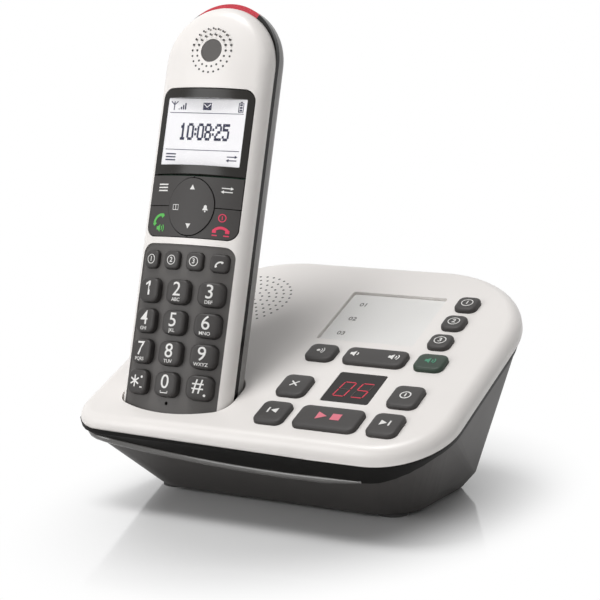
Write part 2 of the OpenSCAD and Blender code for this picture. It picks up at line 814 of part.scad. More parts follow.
function corners(w, d) = [for (x = [-1, 1], y = [-1, 1]) [x * w + foot_x, y * d + foot_y]];
function pad_places() = corners((foot_w - pad_d) / 2 - pad_in, (foot_d - pad_d) / 2 - pad_in);
function screw_places() = corners(foot_w / 2 - pad_in - pad_d - screw_in, (foot_d - pad_d) / 2 - pad_in);

module base_feet() color("black") for (p = pad_places())
    translate([p[0], p[1], 0]) cylinder(d = pad_d, h = pad_h);

module base_screws() color("silver") for (p = screw_places()) translate([p[0], p[1], pad_h]) {
    cylinder(d = screw_head, h = case_wall / 2);
    cylinder(d = screw_d, h = screw_l);
}

module counter_window() color("black") on_panel(key_column, counter_y)
    rounded_prism(counter_w - 2 * clip, counter_d - 2 * clip, recess_r, -case_wall, 0);

module counter_display() color("darkred") on_panel(key_column, counter_y)
    rounded_prism(counter_w - 2 * led_in, counter_d - 2 * led_in, recess_r / 2,
                  base_board_z + pcb_t, -case_wall);

module label_sheet(z0, z1) {
    rounded_prism(label_w - 2 * part_gap, label_d - 2 * part_gap, recess_r, z0, z1);
}

module label_card() color("white") on_panel(label_x, label_y)
    label_sheet(-label_recess, -label_recess + label_card_t);

module label_cover() color("aliceblue") on_panel(label_x, label_y) difference() {
    label_sheet(-label_cover_t, 0);
    for (s = [-1, 1]) translate([(s * notch_pitch - notch_w) / 2, label_d / 2 - notch_d, -cut])
        cube([notch_w, cut, 2 * cut]);
}

module base_pcb() color("darkgreen") on_panel(key_column, (row_a + row_c) / 2)
    rounded_prism(2 * base_pitch + base_key_w, row_a - row_c + row_c_d, board_r,
                  base_board_z, base_board_z + pcb_t);

module speaker_grille() color("whitesmoke") on_panel(speaker_x, speaker_y, -case_wall) difference() {
    cylinder(r = grille_r, h = case_wall);
    for (ring = [0:grille_rings], i = [0:max(1, 6 * ring) - 1]) rotate([0, 0, i * 60 / max(1, ring)])
        translate([ring * (grille_r - grille_edge) / grille_rings, 0, -over])
            cylinder(d = grille_hole, h = case_wall + 2 * over, $fn = 16);
}

module base_speaker() color("black") on_panel(speaker_x, speaker_y, -case_wall) rotate_extrude() polygon([
    [0, -basket_h - magnet_t], [magnet_d / 2, -basket_h - magnet_t], [magnet_d / 2, -basket_h],
    [speaker_r - 2 * speaker_rim, -frame_t], [speaker_r, -frame_t], [speaker_r, 0],
    [speaker_r - speaker_rim, 0], [speaker_r - speaker_rim, -speaker_rim],
    [cap_d / 2, speaker_rim - basket_h], [0, frame_t - basket_h]]);

module socket_block(s) {
    translate([foot_x + s * socket_x, socket_y - socket_l, socket_z]) difference() {
        translate([-socket_w / 2, 0, -socket_h / 2]) cube([socket_w, socket_l, socket_h]);
        translate([-jack_w / 2, socket_l - jack_l, -jack_h / 2]) cube([jack_w, jack_l + over, jack_h]);
        translate([-jack_w / 4, socket_l - jack_l, -jack_h / 2 - latch_h])
            cube([jack_w / 2, jack_l + over, 2 * latch_h]);
    }
}

module line_socket() color("black") socket_block(1);

module power_socket() color("black") socket_block(-1);

module cradle_contacts() color("gold") for (s = [-1, 1])
    in_handset(s * contact_pitch / 2, toe_y - cradle_gap - cradle_wall, contact_z()) {
        translate([0, (cradle_wall - over) / 2, 0])
            cube([contact_w - 2 * clip, cradle_wall + over, contact_w - 2 * clip], center = true);
        translate([0, cradle_wall, 0]) rotate([-90, 0, 0])
            cylinder(d = contact_w / 2, h = cradle_gap - part_gap);
    }

// The volume key rocks, so its flange is short
function flange_w(k) = k[0] == "volume_key" ? rocker_flange : k[3] + 2 * key_flange;

// Base keys: a crowned cap on a flange that holds it under the cover
module base_key(k) color("dimgray") on_panel(k[1], k[2]) {
    intersection() {
        rounded_prism(k[3], k[4], base_key_r, base_key_base, base_key_proud);
        translate([0, 0, base_key_proud - face_r]) rotate([0, 90, 0])
            cylinder(r = face_r, h = 2 * base_w, center = true, $fn = 180);
    }
    rounded_prism(flange_w(k), k[4] + 2 * key_flange, base_key_r, base_key_base, base_key_base + flange_t);
}

base_top_cover();
base_lower_case();
base_rim_band();
counter_window();
counter_display();
label_card();
label_cover();
base_pcb();
base_speaker();
speaker_grille();
line_socket();
power_socket();
base_feet();
base_screws();
cradle_contacts();
handset_front_shell();
handset_rear_shell();
handset_side_band();
ringer_light();
earpiece_disc();
earpiece_speaker();
display_window();
lcd_module();
keypad_mat();
handset_pcb();
battery_cells();
handset_charge_contacts();
battery_door();
nav_key();
for (i = [0:3]) menu_block_key(i);
for (i = [0:3]) memory_row_key(i);
for (i = [0:11]) number_key(i);
for (k = BASE_KEYS) base_key(k);
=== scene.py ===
# %% [markdown]
# # A cordless phone standing in its answering base
# The solids of this phone were drawn in a CAD program and packed as one frame. This lesson dresses
# that frame: it gives every moulding its plastic, rounds what fingers touch, prints the key
# legends, lights the two displays, and sets the phone on a white studio floor. Everything is in
# metres, in the same frame as the solids.

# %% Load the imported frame
import json
import math

import bpy
from mathutils import Matrix, Vector
from mathutils.bvhtree import BVHTree


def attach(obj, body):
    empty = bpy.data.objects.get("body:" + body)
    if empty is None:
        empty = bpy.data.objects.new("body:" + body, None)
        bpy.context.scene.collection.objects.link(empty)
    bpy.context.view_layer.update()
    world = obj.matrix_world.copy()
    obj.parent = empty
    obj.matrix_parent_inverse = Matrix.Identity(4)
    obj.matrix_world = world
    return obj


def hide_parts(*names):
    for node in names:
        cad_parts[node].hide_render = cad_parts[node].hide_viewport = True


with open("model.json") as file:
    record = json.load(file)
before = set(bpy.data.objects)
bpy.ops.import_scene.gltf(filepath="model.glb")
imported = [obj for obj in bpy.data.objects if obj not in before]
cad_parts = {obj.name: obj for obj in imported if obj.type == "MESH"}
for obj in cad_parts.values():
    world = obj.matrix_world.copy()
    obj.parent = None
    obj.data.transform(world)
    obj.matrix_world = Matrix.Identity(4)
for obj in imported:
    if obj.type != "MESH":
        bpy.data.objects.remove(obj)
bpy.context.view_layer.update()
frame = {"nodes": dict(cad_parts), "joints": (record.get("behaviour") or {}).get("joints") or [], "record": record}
nodes = frame["nodes"]
MM = 0.001

# %% [markdown]
# ## Two working planes
# The base's deck slopes towards the user and the handset leans back, so almost nothing lies along
# the world axes. Numbers could be turned by hand each time. It is easier to keep two sets of axes,
# across, up and out of the surface, and to think in those. The joints know them already: the
# handset lifts along its own length, and the clear label cover lifts straight off the deck.

# %% Axes of the deck and of the handset
joint_axis = {joint["name"]: Vector(joint["axis"]) for joint in frame["joints"]}
ACROSS = Vector((1, 0, 0))


def plane_axes(up, out):
    """A turn whose columns are across, up and out of a sloping surface."""
    return Matrix((ACROSS, up, out)).transposed()


deck_out = joint_axis["label_cover_lift"].normalized()
handset_up = joint_axis["handset_lift"].normalized()
DECK = plane_axes(deck_out.cross(ACROSS), deck_out)
HANDSET = plane_axes(handset_up, ACROSS.cross(handset_up))


def local_points(node, axes):
    """A solid's points, measured along a plane's own axes."""
    return [axes.transposed() @ vertex.co for vertex in nodes[node].data.vertices]


def span(node, axes):
    """Lowest and highest corner of a solid, measured along a plane's own axes."""
    points = local_points(node, axes)
    return (Vector([min(p[i] for p in points) for i in range(3)]),
            Vector([max(p[i] for p in points) for i in range(3)]))


def middle_of(low, high):
    """The middle between two corners, across and up."""
    return (low.x + high.x) / 2, (low.y + high.y) / 2


shell_low, shell_high = span("handset_front_shell", HANDSET)
print("handset:", [round(side / MM, 1) for side in shell_high - shell_low],
      "mm across, along and through")

# %% [markdown]
# ## Shared surface effects
# Moulded plastic is never perfectly even. The tool leaves a fine grain, the gloss drifts a little
# over a hand's width, and the tone shifts by a percent or two. These three effects make up one node
# group, built once and placed in many materials with its own values.

# %% Node group: moulded grain
def new_group(title, inputs, outputs):
    """An empty shader group with named float inputs and outputs."""
    group = bpy.data.node_groups.new(title, "ShaderNodeTree")
    for label, value in inputs:
        socket = group.interface.new_socket(label, in_out="INPUT", socket_type="NodeSocketFloat")
        socket.default_value = value
    for label in outputs:
        group.interface.new_socket(label, in_out="OUTPUT", socket_type="NodeSocketFloat")
    return group, group.nodes.new("NodeGroupInput"), group.nodes.new("NodeGroupOutput")


GRAIN_SCALE, SHEEN_SCALE, TONE_SCALE = 900.0, 22.0, 55.0
grain, grain_in, grain_out = new_group("Moulded grain", [("Scale", GRAIN_SCALE)],
                                       ["Height", "Sheen drift", "Tone drift"])
place = grain.nodes.new("ShaderNodeTexCoord")
fine = grain.nodes.new("ShaderNodeTexNoise")
fine.inputs["Detail"].default_value = 3.0
broad = grain.nodes.new("ShaderNodeTexNoise")
broad.inputs["Scale"].default_value = SHEEN_SCALE
broad.inputs["Detail"].default_value = 2.0
tone = grain.nodes.new("ShaderNodeTexNoise")
tone.inputs["Scale"].default_value = TONE_SCALE
tone.inputs["Detail"].default_value = 4.0
for texture in (fine, broad, tone):
    grain.links.new(place.outputs["Object"], texture.inputs["Vector"])
grain.links.new(grain_in.outputs["Scale"], fine.inputs["Scale"])
for texture, label in ((fine, "Height"), (broad, "Sheen drift"), (tone, "Tone drift")):
    grain.links.new(texture.outputs["Fac"], grain_out.inputs[label])
print("group:", grain.name)

# %% [markdown]
# ## Plastics
# Every moulding is a Principled BSDF. The grain group moves its roughness between two values, mixes
# two close tones for its colour and feeds a weak bump. Only the numbers differ between the white
# shells, the charcoal case, the grey back and the keys, so one function makes them all.

# %% A maker of moulded plastics
COAT_ROUGHNESS = 0.06
BUMP_DEPTH = 0.1 * MM


def shader_of(finish):
    """The Principled BSDF of a finish."""
    return finish.node_tree.nodes["Principled BSDF"]


def plastic(title, dark, light, gloss, grain_scale=GRAIN_SCALE, grain_depth=0.02,
            coat=0.0, specular=0.5):
    """A moulded plastic: two close tones, a roughness range, and a grain's scale and depth."""
    made = bpy.data.materials.new(title)
    made.use_nodes = True
    tree = made.node_tree
    shader = shader_of(made)
    shader.inputs["Coat Weight"].default_value = coat
    shader.inputs["Coat Roughness"].default_value = COAT_ROUGHNESS
    shader.inputs["Specular IOR Level"].default_value = specular
    texture = tree.nodes.new("ShaderNodeGroup")
    texture.node_tree = grain
    texture.inputs["Scale"].default_value = grain_scale
    blend = tree.nodes.new("ShaderNodeMix")
    blend.data_type = "RGBA"
    blend.inputs["A"].default_value = (*dark, 1)
    blend.inputs["B"].default_value = (*light, 1)
    tree.links.new(texture.outputs["Tone drift"], blend.inputs["Factor"])
    tree.links.new(blend.outputs["Result"], shader.inputs["Base Color"])
    sheen = tree.nodes.new("ShaderNodeMapRange")
    sheen.inputs["To Min"].default_value = gloss[0]
    sheen.inputs["To Max"].default_value = gloss[1]
    tree.links.new(texture.outputs["Sheen drift"], sheen.inputs["Value"])
    tree.links.new(sheen.outputs["Result"], shader.inputs["Roughness"])
    bump = tree.nodes.new("ShaderNodeBump")
    bump.inputs["Strength"].default_value = grain_depth
    bump.inputs["Distance"].default_value = BUMP_DEPTH
    tree.links.new(texture.outputs["Height"], bump.inputs["Height"])
    tree.links.new(bump.outputs["Normal"], shader.inputs["Normal"])
    return made


PAINT = {
    "white_shell": plastic("White shell", (0.80, 0.768, 0.742), (0.84, 0.807, 0.780), (0.28, 0.38)),
    "charcoal_case": plastic("Charcoal case", (0.050, 0.046, 0.044), (0.062, 0.058, 0.055),
                             (0.46, 0.58), grain_scale=1600, grain_depth=0.25, specular=0.3),
    "grey_shell": plastic("Grey rear shell", (0.24, 0.235, 0.23), (0.27, 0.265, 0.26),
                          (0.34, 0.46), grain_scale=1600, grain_depth=0.2),
    "black_gloss": plastic("Black gloss band", (0.006, 0.0055, 0.005), (0.008, 0.0075, 0.007),
                           (0.16, 0.24), grain_scale=500, grain_depth=0.01, specular=0.14),
    "display_glass": plastic("Display window", (0.011, 0.010, 0.008), (0.014, 0.012, 0.010),
                             (0.18, 0.26), grain_scale=300, grain_depth=0.005, specular=0.3),
    "counter_glass": plastic("Counter window", (0.010, 0.008, 0.008), (0.013, 0.010, 0.009),
                             (0.10, 0.16), grain_scale=300, grain_depth=0.005, specular=0.25),
    "panel_grey": plastic("Key panel", (0.082, 0.077, 0.074), (0.096, 0.090, 0.086),
                          (0.38, 0.50), grain_scale=1200, grain_depth=0.08, specular=0.3),
    "key_grey": plastic("Key grey", (0.040, 0.037, 0.0355), (0.048, 0.0445, 0.043),
                        (0.40, 0.52), grain_scale=1300, grain_depth=0.08, specular=0.3),
    "green_key": plastic("Speaker key green", (0.024, 0.042, 0.029), (0.030, 0.050, 0.036),
                         (0.36, 0.48), grain_scale=1300, grain_depth=0.08, specular=0.3),
    "led_module": plastic("Counter module", (0.012, 0.011, 0.011), (0.016, 0.015, 0.015),
                          (0.40, 0.50)),
    "paper_label": plastic("Label card", (0.84, 0.83, 0.81), (0.88, 0.87, 0.85),
                           (0.60, 0.75), grain_scale=2500, grain_depth=0.05),
    "circuit_board": plastic("Circuit board", (0.020, 0.11, 0.050), (0.030, 0.14, 0.065),
                             (0.35, 0.50)),
    "speaker_unit": plastic("Speaker cone", (0.020, 0.020, 0.020), (0.035, 0.034, 0.033),
                            (0.60, 0.75)),
    "socket_black": plastic("Socket black", (0.018, 0.017, 0.016), (0.024, 0.023, 0.022),
                            (0.35, 0.48)),
    "foot_rubber": plastic("Foot rubber", (0.030, 0.030, 0.029), (0.042, 0.041, 0.040),
                           (0.70, 0.85), grain_scale=1800, grain_depth=0.3),
    "screw_steel": plastic("Screw steel", (0.45, 0.45, 0.44), (0.52, 0.52, 0.51), (0.28, 0.40)),
    "contact_metal": plastic("Contact metal", (0.72, 0.62, 0.38), (0.78, 0.68, 0.44), (0.18, 0.28)),
    "ringer_lens": plastic("Ringer lens", (0.42, 0.006, 0.020), (0.50, 0.010, 0.028),
                           (0.20, 0.28), grain_scale=400, grain_depth=0.01, specular=0.3),
    "lcd_glass": plastic("Display sheet", (0.80, 0.79, 0.81), (0.84, 0.83, 0.85),
                         (0.22, 0.30), grain_scale=400, grain_depth=0.005),
    "battery_sleeve": plastic("Battery sleeve", (0.05, 0.12, 0.30), (0.06, 0.14, 0.34),
                              (0.30, 0.42)),
    "clear_sheet": plastic("Clear sheet", (0.02, 0.02, 0.02), (0.03, 0.03, 0.03),
                           (0.06, 0.10), grain_scale=300, grain_depth=0.005, coat=1.0),
}
print("finishes:", len(PAINT))

# %% [markdown]
# ## Metal, clear and lit finishes
# Five finishes need more than a plastic has: screws and contacts are metal, the clear sheet lets
# nearly all light through, and the display sheet and the ringer lens give off a little light of
# their own. A lamp behind them could do that too, but a weak emission in the finish is simpler.

# %% Metal, clear and lit finishes
CLEAR_ALPHA = 0.03
BACKLIGHT, RINGER_GLOW = 0.12, 0.06


def light_up(finish, colour, strength):
    """Lets a finish give off a little light of its own."""
    shader_of(finish).inputs["Emission Color"].default_value = (*colour, 1)
    shader_of(finish).inputs["Emission Strength"].default_value = strength


for metal in ("screw_steel", "contact_metal"):
    shader_of(PAINT[metal]).inputs["Metallic"].default_value = 1.0
shader_of(PAINT["clear_sheet"]).inputs["Alpha"].default_value = CLEAR_ALPHA
light_up(PAINT["lcd_glass"], (0.97, 0.96, 1.0), BACKLIGHT)
light_up(PAINT["ringer_lens"], (0.80, 0.05, 0.12), RINGER_GLOW)
print("backlight", BACKLIGHT, "and ringer glow", RINGER_GLOW)

# %% [markdown]
# ## Dress the solids
# A solid whose shape is right keeps its mesh and only changes its material. The record says which
# material slot each solid belongs to. Faces that meet at a shallow angle are shaded smooth, so a
# rolled edge reads as a curve and a real corner stays crisp.

# %% Give each solid its finish
SMOOTH_UP_TO = math.radians(32)
slot_of = {part["node"]: part["material_slot"] for part in frame["record"]["subparts"]}
for name, slot in slot_of.items():
    mesh = nodes[name].data
    mesh.materials.clear()
    mesh.materials.append(PAINT[slot])
    mesh.shade_smooth()
    mesh.set_sharp_from_angle(angle=SMOOTH_UP_TO)
print("dressed:", len(slot_of), "solids in", len(set(slot_of.values())), "finishes")

# %% [markdown]
# ## The crowned face
# The handset's face is a slice of a big cylinder, and everything on it follows that curve: the
# window, the keys and their print. Its radius could be typed in again. Here it is measured on the
# window, from its height at the middle and at the edge, so the pieces below fit the solids whatever
# their size.

# %% Measure the crown of the handset's face
EDGE_ZONE = 0.1 * MM
window_low, window_high = span("display_window", HANDSET)
face_mid = (window_low.x + window_high.x) / 2
half_window = (window_high.x - window_low.x) / 2
edge_height = max(point.z for point in local_points("display_window", HANDSET)
                  if point.x > window_high.x - EDGE_ZONE)
sag = window_high.z - edge_height
FACE_R = (half_window ** 2 + sag ** 2) / (2 * sag)


def face_height(x, proud=0.0):
    """Height of the handset's face, or of a skin that stands proud of it, at a place across it."""
    return window_high.z - FACE_R + math.sqrt((FACE_R + proud) ** 2 - (x - face_mid) ** 2)


def key_proud(node):
    """How far a handset key stands out of the crowned face."""
    low, high = span(node, HANDSET)
    nearest = max(0.0, low.x - face_mid, face_mid - high.x)
    return math.hypot(high.z - window_high.z + FACE_R, nearest) - FACE_R


print("crown radius:", round(FACE_R / MM, 1), "mm, key 5 stands out",
      round(key_proud("key_5") / MM, 2), "mm")

# %% [markdown]
# ## Soft keys
# A moulded key has no sharp edge: its walls roll over into a top that is slightly domed. A bevel
# modifier on the solid could round the edge, but it can't dome the top. Each key is therefore
# lofted from rings: straight walls, a quarter-circle roll, then smaller and smaller rings up to the
# middle, each point set on the top's own curve.

# %% Helpers that make a piece, a ring and a loft
scene = bpy.context.scene
CORNER_STEPS, ROLL_STEPS = 6, 4
KEY_FILL = 0.2 * MM
LEAST_CORNER = 0.25 * MM
TOP_RINGS = (0.8, 0.55, 0.28)


def piece(name, points, faces, body, finish, smooth=False):
    """A new mesh that moves with a body."""
    mesh = bpy.data.meshes.new(name)
    mesh.from_pydata([tuple(point) for point in points], [], faces)
    mesh.materials.append(finish)
    if smooth:
        mesh.shade_smooth()
        mesh.set_sharp_from_angle(angle=SMOOTH_UP_TO)
    made = bpy.data.objects.new(name, mesh)
    scene.collection.objects.link(made)
    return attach(made, body)


def between(start, end, count):
    """Evenly spaced points on the line from start to end, without its ends."""
    (x0, y0), (x1, y1) = start, end
    return [(x0 + (x1 - x0) * k / (count + 1), y0 + (y1 - y0) * k / (count + 1))
            for k in range(1, count + 1)]


def rounded_ring(width, height, radii, along=0):
    """Points of a rectangle with four rounded corners, from the upper right one, anticlockwise."""
    ring = []
    for corner, (sx, sy) in enumerate(((1, 1), (-1, 1), (-1, -1), (1, -1))):
        r = radii[corner]
        turns = [math.pi / 2 * (corner + step / CORNER_STEPS) for step in range(CORNER_STEPS + 1)]
        bend = [(sx * (width / 2 - r) + r * math.cos(a), sy * (height / 2 - r) + r * math.sin(a))
                for a in turns]
        if ring:
            ring += between(ring[-1], bend[0], along)
        ring += bend
    return ring + between(ring[-1], ring[0], along)


def join_rings(start, after, count):
    """Faces between two rings, given by the numbers of their first points."""
    return [[start + i, start + (i + 1) % count, after + (i + 1) % count, after + i]
            for i in range(count)]


def loft(rings):
    """Faces over equal rings, with a flat bottom and a fan up to one last middle point."""
    count, last = len(rings[0]), (len(rings) - 1) * len(rings[0])
    faces = [list(reversed(range(count)))]
    for start in range(0, last, count):
        faces += join_rings(start, start + count, count)
    return faces + [[last + i, last + (i + 1) % count, last + count] for i in range(count)]


def soft_key(node, axes, middle, width, height, corner, low, roll, top):
    """A key with rolled edges that stands for a solid: top(x, y) is the height of its skin."""
    width, height = width + 2 * KEY_FILL, height + 2 * KEY_FILL

    def outline(inset):
        r = max(corner - inset, LEAST_CORNER)
        ring = rounded_ring(width - 2 * inset, height - 2 * inset, [r] * 4)
        return [(middle[0] + x, middle[1] + y) for x, y in ring]

    def under_top(places, drop):
        return [(x, y, top(x, y) - drop) for x, y in places]

    rings = [[(x, y, low) for x, y in outline(0)], under_top(outline(0), roll)]
    for step in range(1, ROLL_STEPS + 1):
        angle = math.pi / 2 * step / ROLL_STEPS
        inset, drop = roll * (1 - math.cos(angle)), roll * (1 - math.sin(angle))
        rings.append(under_top(outline(inset), drop))
    rolled = rings[-1]
    for shrink in TOP_RINGS:
        places = [(middle[0] + (x - middle[0]) * shrink, middle[1] + (y - middle[1]) * shrink)
                  for x, y, z in rolled]
        rings.append(under_top(places, 0))
    points = [axes @ Vector(point) for ring in rings for point in ring]
    points.append(axes @ Vector((middle[0], middle[1], top(*middle))))
    made = piece("soft_" + node, points, loft(rings), node, PAINT[slot_of[node]], smooth=True)
    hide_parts(node)


print("a key's outline grows by", round(KEY_FILL / MM, 2),
      "mm a side, to close most of the gap round it")

# %% [markdown]
# ## Keys of the handset
# The twelve number keys and the four small ones above them stand out of the crowned face, so the
# upper skin of each follows the crown across and domes a little along. Their sizes could be typed
# in again. They are read from the solids instead, so a changed key changes here too.

# %% Soft keys of the handset
KEY_ROLL = 1.1 * MM
MEMORY_ROLL = 0.7 * KEY_ROLL
KEY_DOME = 0.22 * MM
KEY_CORNER = 3.0 * MM
MEMORY_CORNER = 2.0 * MM
NUMBER_KEYS = ["key_1", "key_2", "key_3", "key_4", "key_5", "key_6",
               "key_7", "key_8", "key_9", "key_star", "key_0", "key_hash"]
MEMORY_KEYS = ["memory_key_1", "memory_key_2", "memory_key_3", "recall_key"]
key_top = {}
key_middle = {}


def handset_key(node, corner, roll):
    """Lofts a handset key from the box of its solid and remembers its middle and its upper skin."""
    low, high = span(node, HANDSET)
    middle = middle_of(low, high)
    proud = key_proud(node)
    half = (high.y - low.y) / 2
    key_top[node] = lambda x, y: face_height(x, proud) - KEY_DOME * ((y - middle[1]) / half) ** 2
    key_middle[node] = middle
    soft_key(node, HANDSET, middle, high.x - low.x, high.y - low.y, corner, low.z, roll,
             key_top[node])


for node in NUMBER_KEYS:
    handset_key(node, KEY_CORNER, KEY_ROLL)
for node in MEMORY_KEYS:
    handset_key(node, MEMORY_CORNER, MEMORY_ROLL)
print("handset keys:", len(key_top))

# %% [markdown]
# ## Keys of the base
# A base key sits in a hole of the deck, and a hidden flange stops it from falling out. Only its cap
# shows, so the outline is taken from the solid's top millimetre. The tops are curved from front to
# back, like a shallow roof.

# %% Soft keys of the base
BASE_KEYS = ["base_memory_key_1", "base_memory_key_2", "base_memory_key_3", "page_key",
             "volume_key", "speaker_key", "delete_key", "power_key", "previous_key", "play_key",
             "next_key"]
BASE_ROLL = 1.0 * MM
CAP_DEPTH = 1.2 * MM


def base_key(node):
    """Lofts a base key from the cap of its solid, leaving its hidden flange out of the outline."""
    low, high = span(node, DECK)
    cap = [point for point in local_points(node, DECK) if point.z > high.z - CAP_DEPTH]
    left, right = min(p.x for p in cap), max(p.x for p in cap)
    foot, head = min(p.y for p in cap), max(p.y for p in cap)
    middle = ((left + right) / 2, (foot + head) / 2)
    key_top[node] = lambda x, y: high.z - FACE_R + math.sqrt(FACE_R ** 2 - (y - middle[1]) ** 2)
    key_middle[node] = middle
    soft_key(node, DECK, middle, right - left, head - foot, KEY_CORNER, low.z, BASE_ROLL,
             key_top[node])


for node in BASE_KEYS:
    base_key(node)
print("base keys:", len(BASE_KEYS))

# %% [markdown]
# ## The black recess under the rim
# Between the white cover and the charcoal case runs a black recess. It is a thin line round the
# sides and back and a long crescent across the front, and a polished bead follows the crescent's
# lower edge. The solid for it is a plain band. The strip here is no hollow: its near-black is partly
# the band's own black and partly painted shade of the recess, on a skin just proud of the case's
# wall. A flat paint on the case would look flat, so the strip is a skin of its own: rays find the
# cover's outline and the case's wall at many places, and the strip hangs between the two.

# %% Stations along the rim
RIM_STEPS = 180
WALL_DOWN = 12 * MM
ABOVE_EDGE = 0.5 * MM
FAR_OUT, NEAR_OUT = 0.2, 0.02
OUT = Vector((0, 0, 1))


def skin_of(node):
    """A search tree of a solid in the deck's axes, for rays."""
    return BVHTree.FromPolygons(local_points(node, DECK),
                                [tuple(face.vertices) for face in nodes[node].data.polygons])


cover_skin, case_skin = skin_of("base_top_cover"), skin_of("base_lower_case")
cover_low, cover_high = span("base_top_cover", DECK)
rim_z = span("base_rim_band", DECK)[1].z
cover_mid = (cover_low + cover_high) / 2
stations = []
for step in range(RIM_STEPS):
    angle = math.pi / 2 + 2 * math.pi * step / RIM_STEPS
    away = Vector((math.cos(angle), math.sin(angle), 0))
    start = Vector((cover_mid.x, cover_mid.y, rim_z + ABOVE_EDGE)) + FAR_OUT * away
    edge, normal = cover_skin.ray_cast(start, -away)[:2]
    side = Vector((normal.x, normal.y, 0)).normalized()
    edge.z = rim_z
    wall = case_skin.ray_cast(edge - WALL_DOWN * OUT + NEAR_OUT * side, -side)[0]
    stations.append((edge, side, wall))
print("rim stations:", len(stations))

# %% [markdown]
# ### A crescent and a line
# The recess is deepest near the middle of the front and shallow along the sides. A parabola gives
# the crescent, and the way each station faces blends it into the line. Every station gets one ring
# of points: a thin lip on the rim, then down the case's wall and back behind it. The rings are
# joined into one endless skin.

# %% The recess, a crescent across the front and a line along the sides
# Near-black and matte: the band's own black and painted shade of the recess in one.
shade = plastic("Recess black", (0.006, 0.0055, 0.005), (0.008, 0.0075, 0.007),
                (0.50, 0.60), grain_scale=500, grain_depth=0.01, specular=0.10)
TUCK = 0.6 * MM
PROUD = 0.32 * MM
BACK = 2.4 * MM
CRESCENT_DEEP = 15.3 * MM
CRESCENT_MID = 15 * MM
CRESCENT_HALF = 94 * MM
SIDE_DEEP = 4.4 * MM
LIP_RISE = 2.1 * MM
LIP_FROM, LIP_OVER = 27 * MM, 92 * MM
LIP_LEAST = 0.05 * MM
WALL_SHARES = (0.25, 0.5, 0.75, 1.0)


def recess_deep(edge, side):
    """Depth of the recess below the rim at a station."""
    crescent = CRESCENT_DEEP * (1 - ((edge.x - CRESCENT_MID) / CRESCENT_HALF) ** 2)
    return max(SIDE_DEEP, crescent * max(0.0, -side.y))


def wall_at(station, deep):
    """A place on the case's wall below the rim, or before it where the solid has a recess."""
    edge, side, wall = station
    place = (edge - TUCK * side).lerp(wall, deep / WALL_DOWN)
    hit = case_skin.ray_cast(place + NEAR_OUT * side, -side)[0]
    return hit if hit and (hit - place).dot(side) > 0 else place


strip_rings = []
for station in stations:
    edge, side, wall = station
    leftward = min(1.0, max(0.0, (LIP_FROM - edge.x) / LIP_OVER))
    rise = LIP_RISE * leftward * min(1.0, max(0.0, -2 * side.y))
    deep = recess_deep(edge, side)
    lip = edge + (PROUD if rise else -TUCK) * side
    wall_line = [wall_at(station, deep * share) + PROUD * side for share in WALL_SHARES]
    behind = [wall_line[-1] - BACK * side, edge - BACK * side]
    strip_rings.append([lip + max(rise, LIP_LEAST) * OUT, lip] + wall_line + behind)


def band_skin(rings, endless=False):
    """Faces of a closed skin over equal rings that follow one another, capped or endless."""
    count, last = len(rings[0]), (len(rings) - 1) * len(rings[0])
    faces = [] if endless else [list(reversed(range(count))), [last + k for k in range(count)]]
    for start in range(0, last + count if endless else last, count):
        faces += join_rings(start, (start + count) % (last + count), count)
    return faces


# A skin of painted shade on the case's wall, not a real hollow.
rim_recess_shade = piece("rim_recess_shade", [DECK @ point for ring in strip_rings for point in ring],
                   band_skin(strip_rings, endless=True), "base", shade, smooth=True)
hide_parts("base_rim_band")
print("recess strip:", len(strip_rings), "rings")

# %% [markdown]
# ### A polished bead
# A rounded ledge catches the light along the crescent's lower edge. Its base colour is lighter than
# the case's, a painted highlight beside the real one from the front lamp. A curve with a bevel depth
# would make such a tube too, but rings set on the same stations as the recess follow its edge
# exactly and can taper at both ends.

# %% The bead along the crescent's lower edge
BEAD_R = 1.6 * MM
BEAD_SIDES = 12
BEAD_END = 47 * MM
BEAD_TAPER, BEAD_TIP = 5, 0.35
BEAD_FACING = -0.25
BEAD_UP, BEAD_OUT = 0.5 * BEAD_R, 0.2 * BEAD_R
# Lighter than the charcoal case: partly a painted highlight, with a real coat for the lamp's.
polish_and_painted_highlight = plastic("Polished bead", (0.095, 0.091, 0.087), (0.110, 0.105, 0.100),
                 (0.22, 0.30), grain_scale=500, grain_depth=0.01, coat=0.6)
route = [(edge, side, wall) for edge, side, wall in stations
         if side.y < BEAD_FACING and edge.x < BEAD_END]
bead_rings = []
for i, station in enumerate(route):
    edge, side, wall = station
    from_end = min(i, len(route) - 1 - i)
    radius = BEAD_R * min(1.0, BEAD_TIP + (1 - BEAD_TIP) * from_end / BEAD_TAPER)
    centre = wall_at(station, recess_deep(edge, side) - BEAD_UP) + BEAD_OUT * side
    turns = [-2 * math.pi * k / BEAD_SIDES for k in range(BEAD_SIDES)]
    bead_rings.append([centre + radius * (math.cos(a) * side + math.sin(a) * OUT) for a in turns])
rim_bead = piece("rim_bead", [DECK @ point for ring in bead_rings for point in ring],
                 band_skin(bead_rings), "base", polish_and_painted_highlight, smooth=True)
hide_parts("base_rim_band")
print("bead:", len(bead_rings), "rings")

# %% [markdown]
# ## Print
# Legends on such keys are printed or moulded in a second plastic. A texture could carry them, but a
# mesh stays sharp from any distance. Letters come from Blender's own font, and signs from a few
# points and arcs. Both are thin solids that lie on the key's upper skin and move with the key.

# %% Inks
INK_SHADE = 0.94


def ink(title, colour, glow=0.0):
    """A plain printing ink; if it glows, a lit counter segment, or print with a painted glow."""
    made = plastic(title, [INK_SHADE * c for c in colour], colour, (0.45, 0.6), grain_scale=2000)
    if glow:
        light_up(made, colour, glow)
    return made


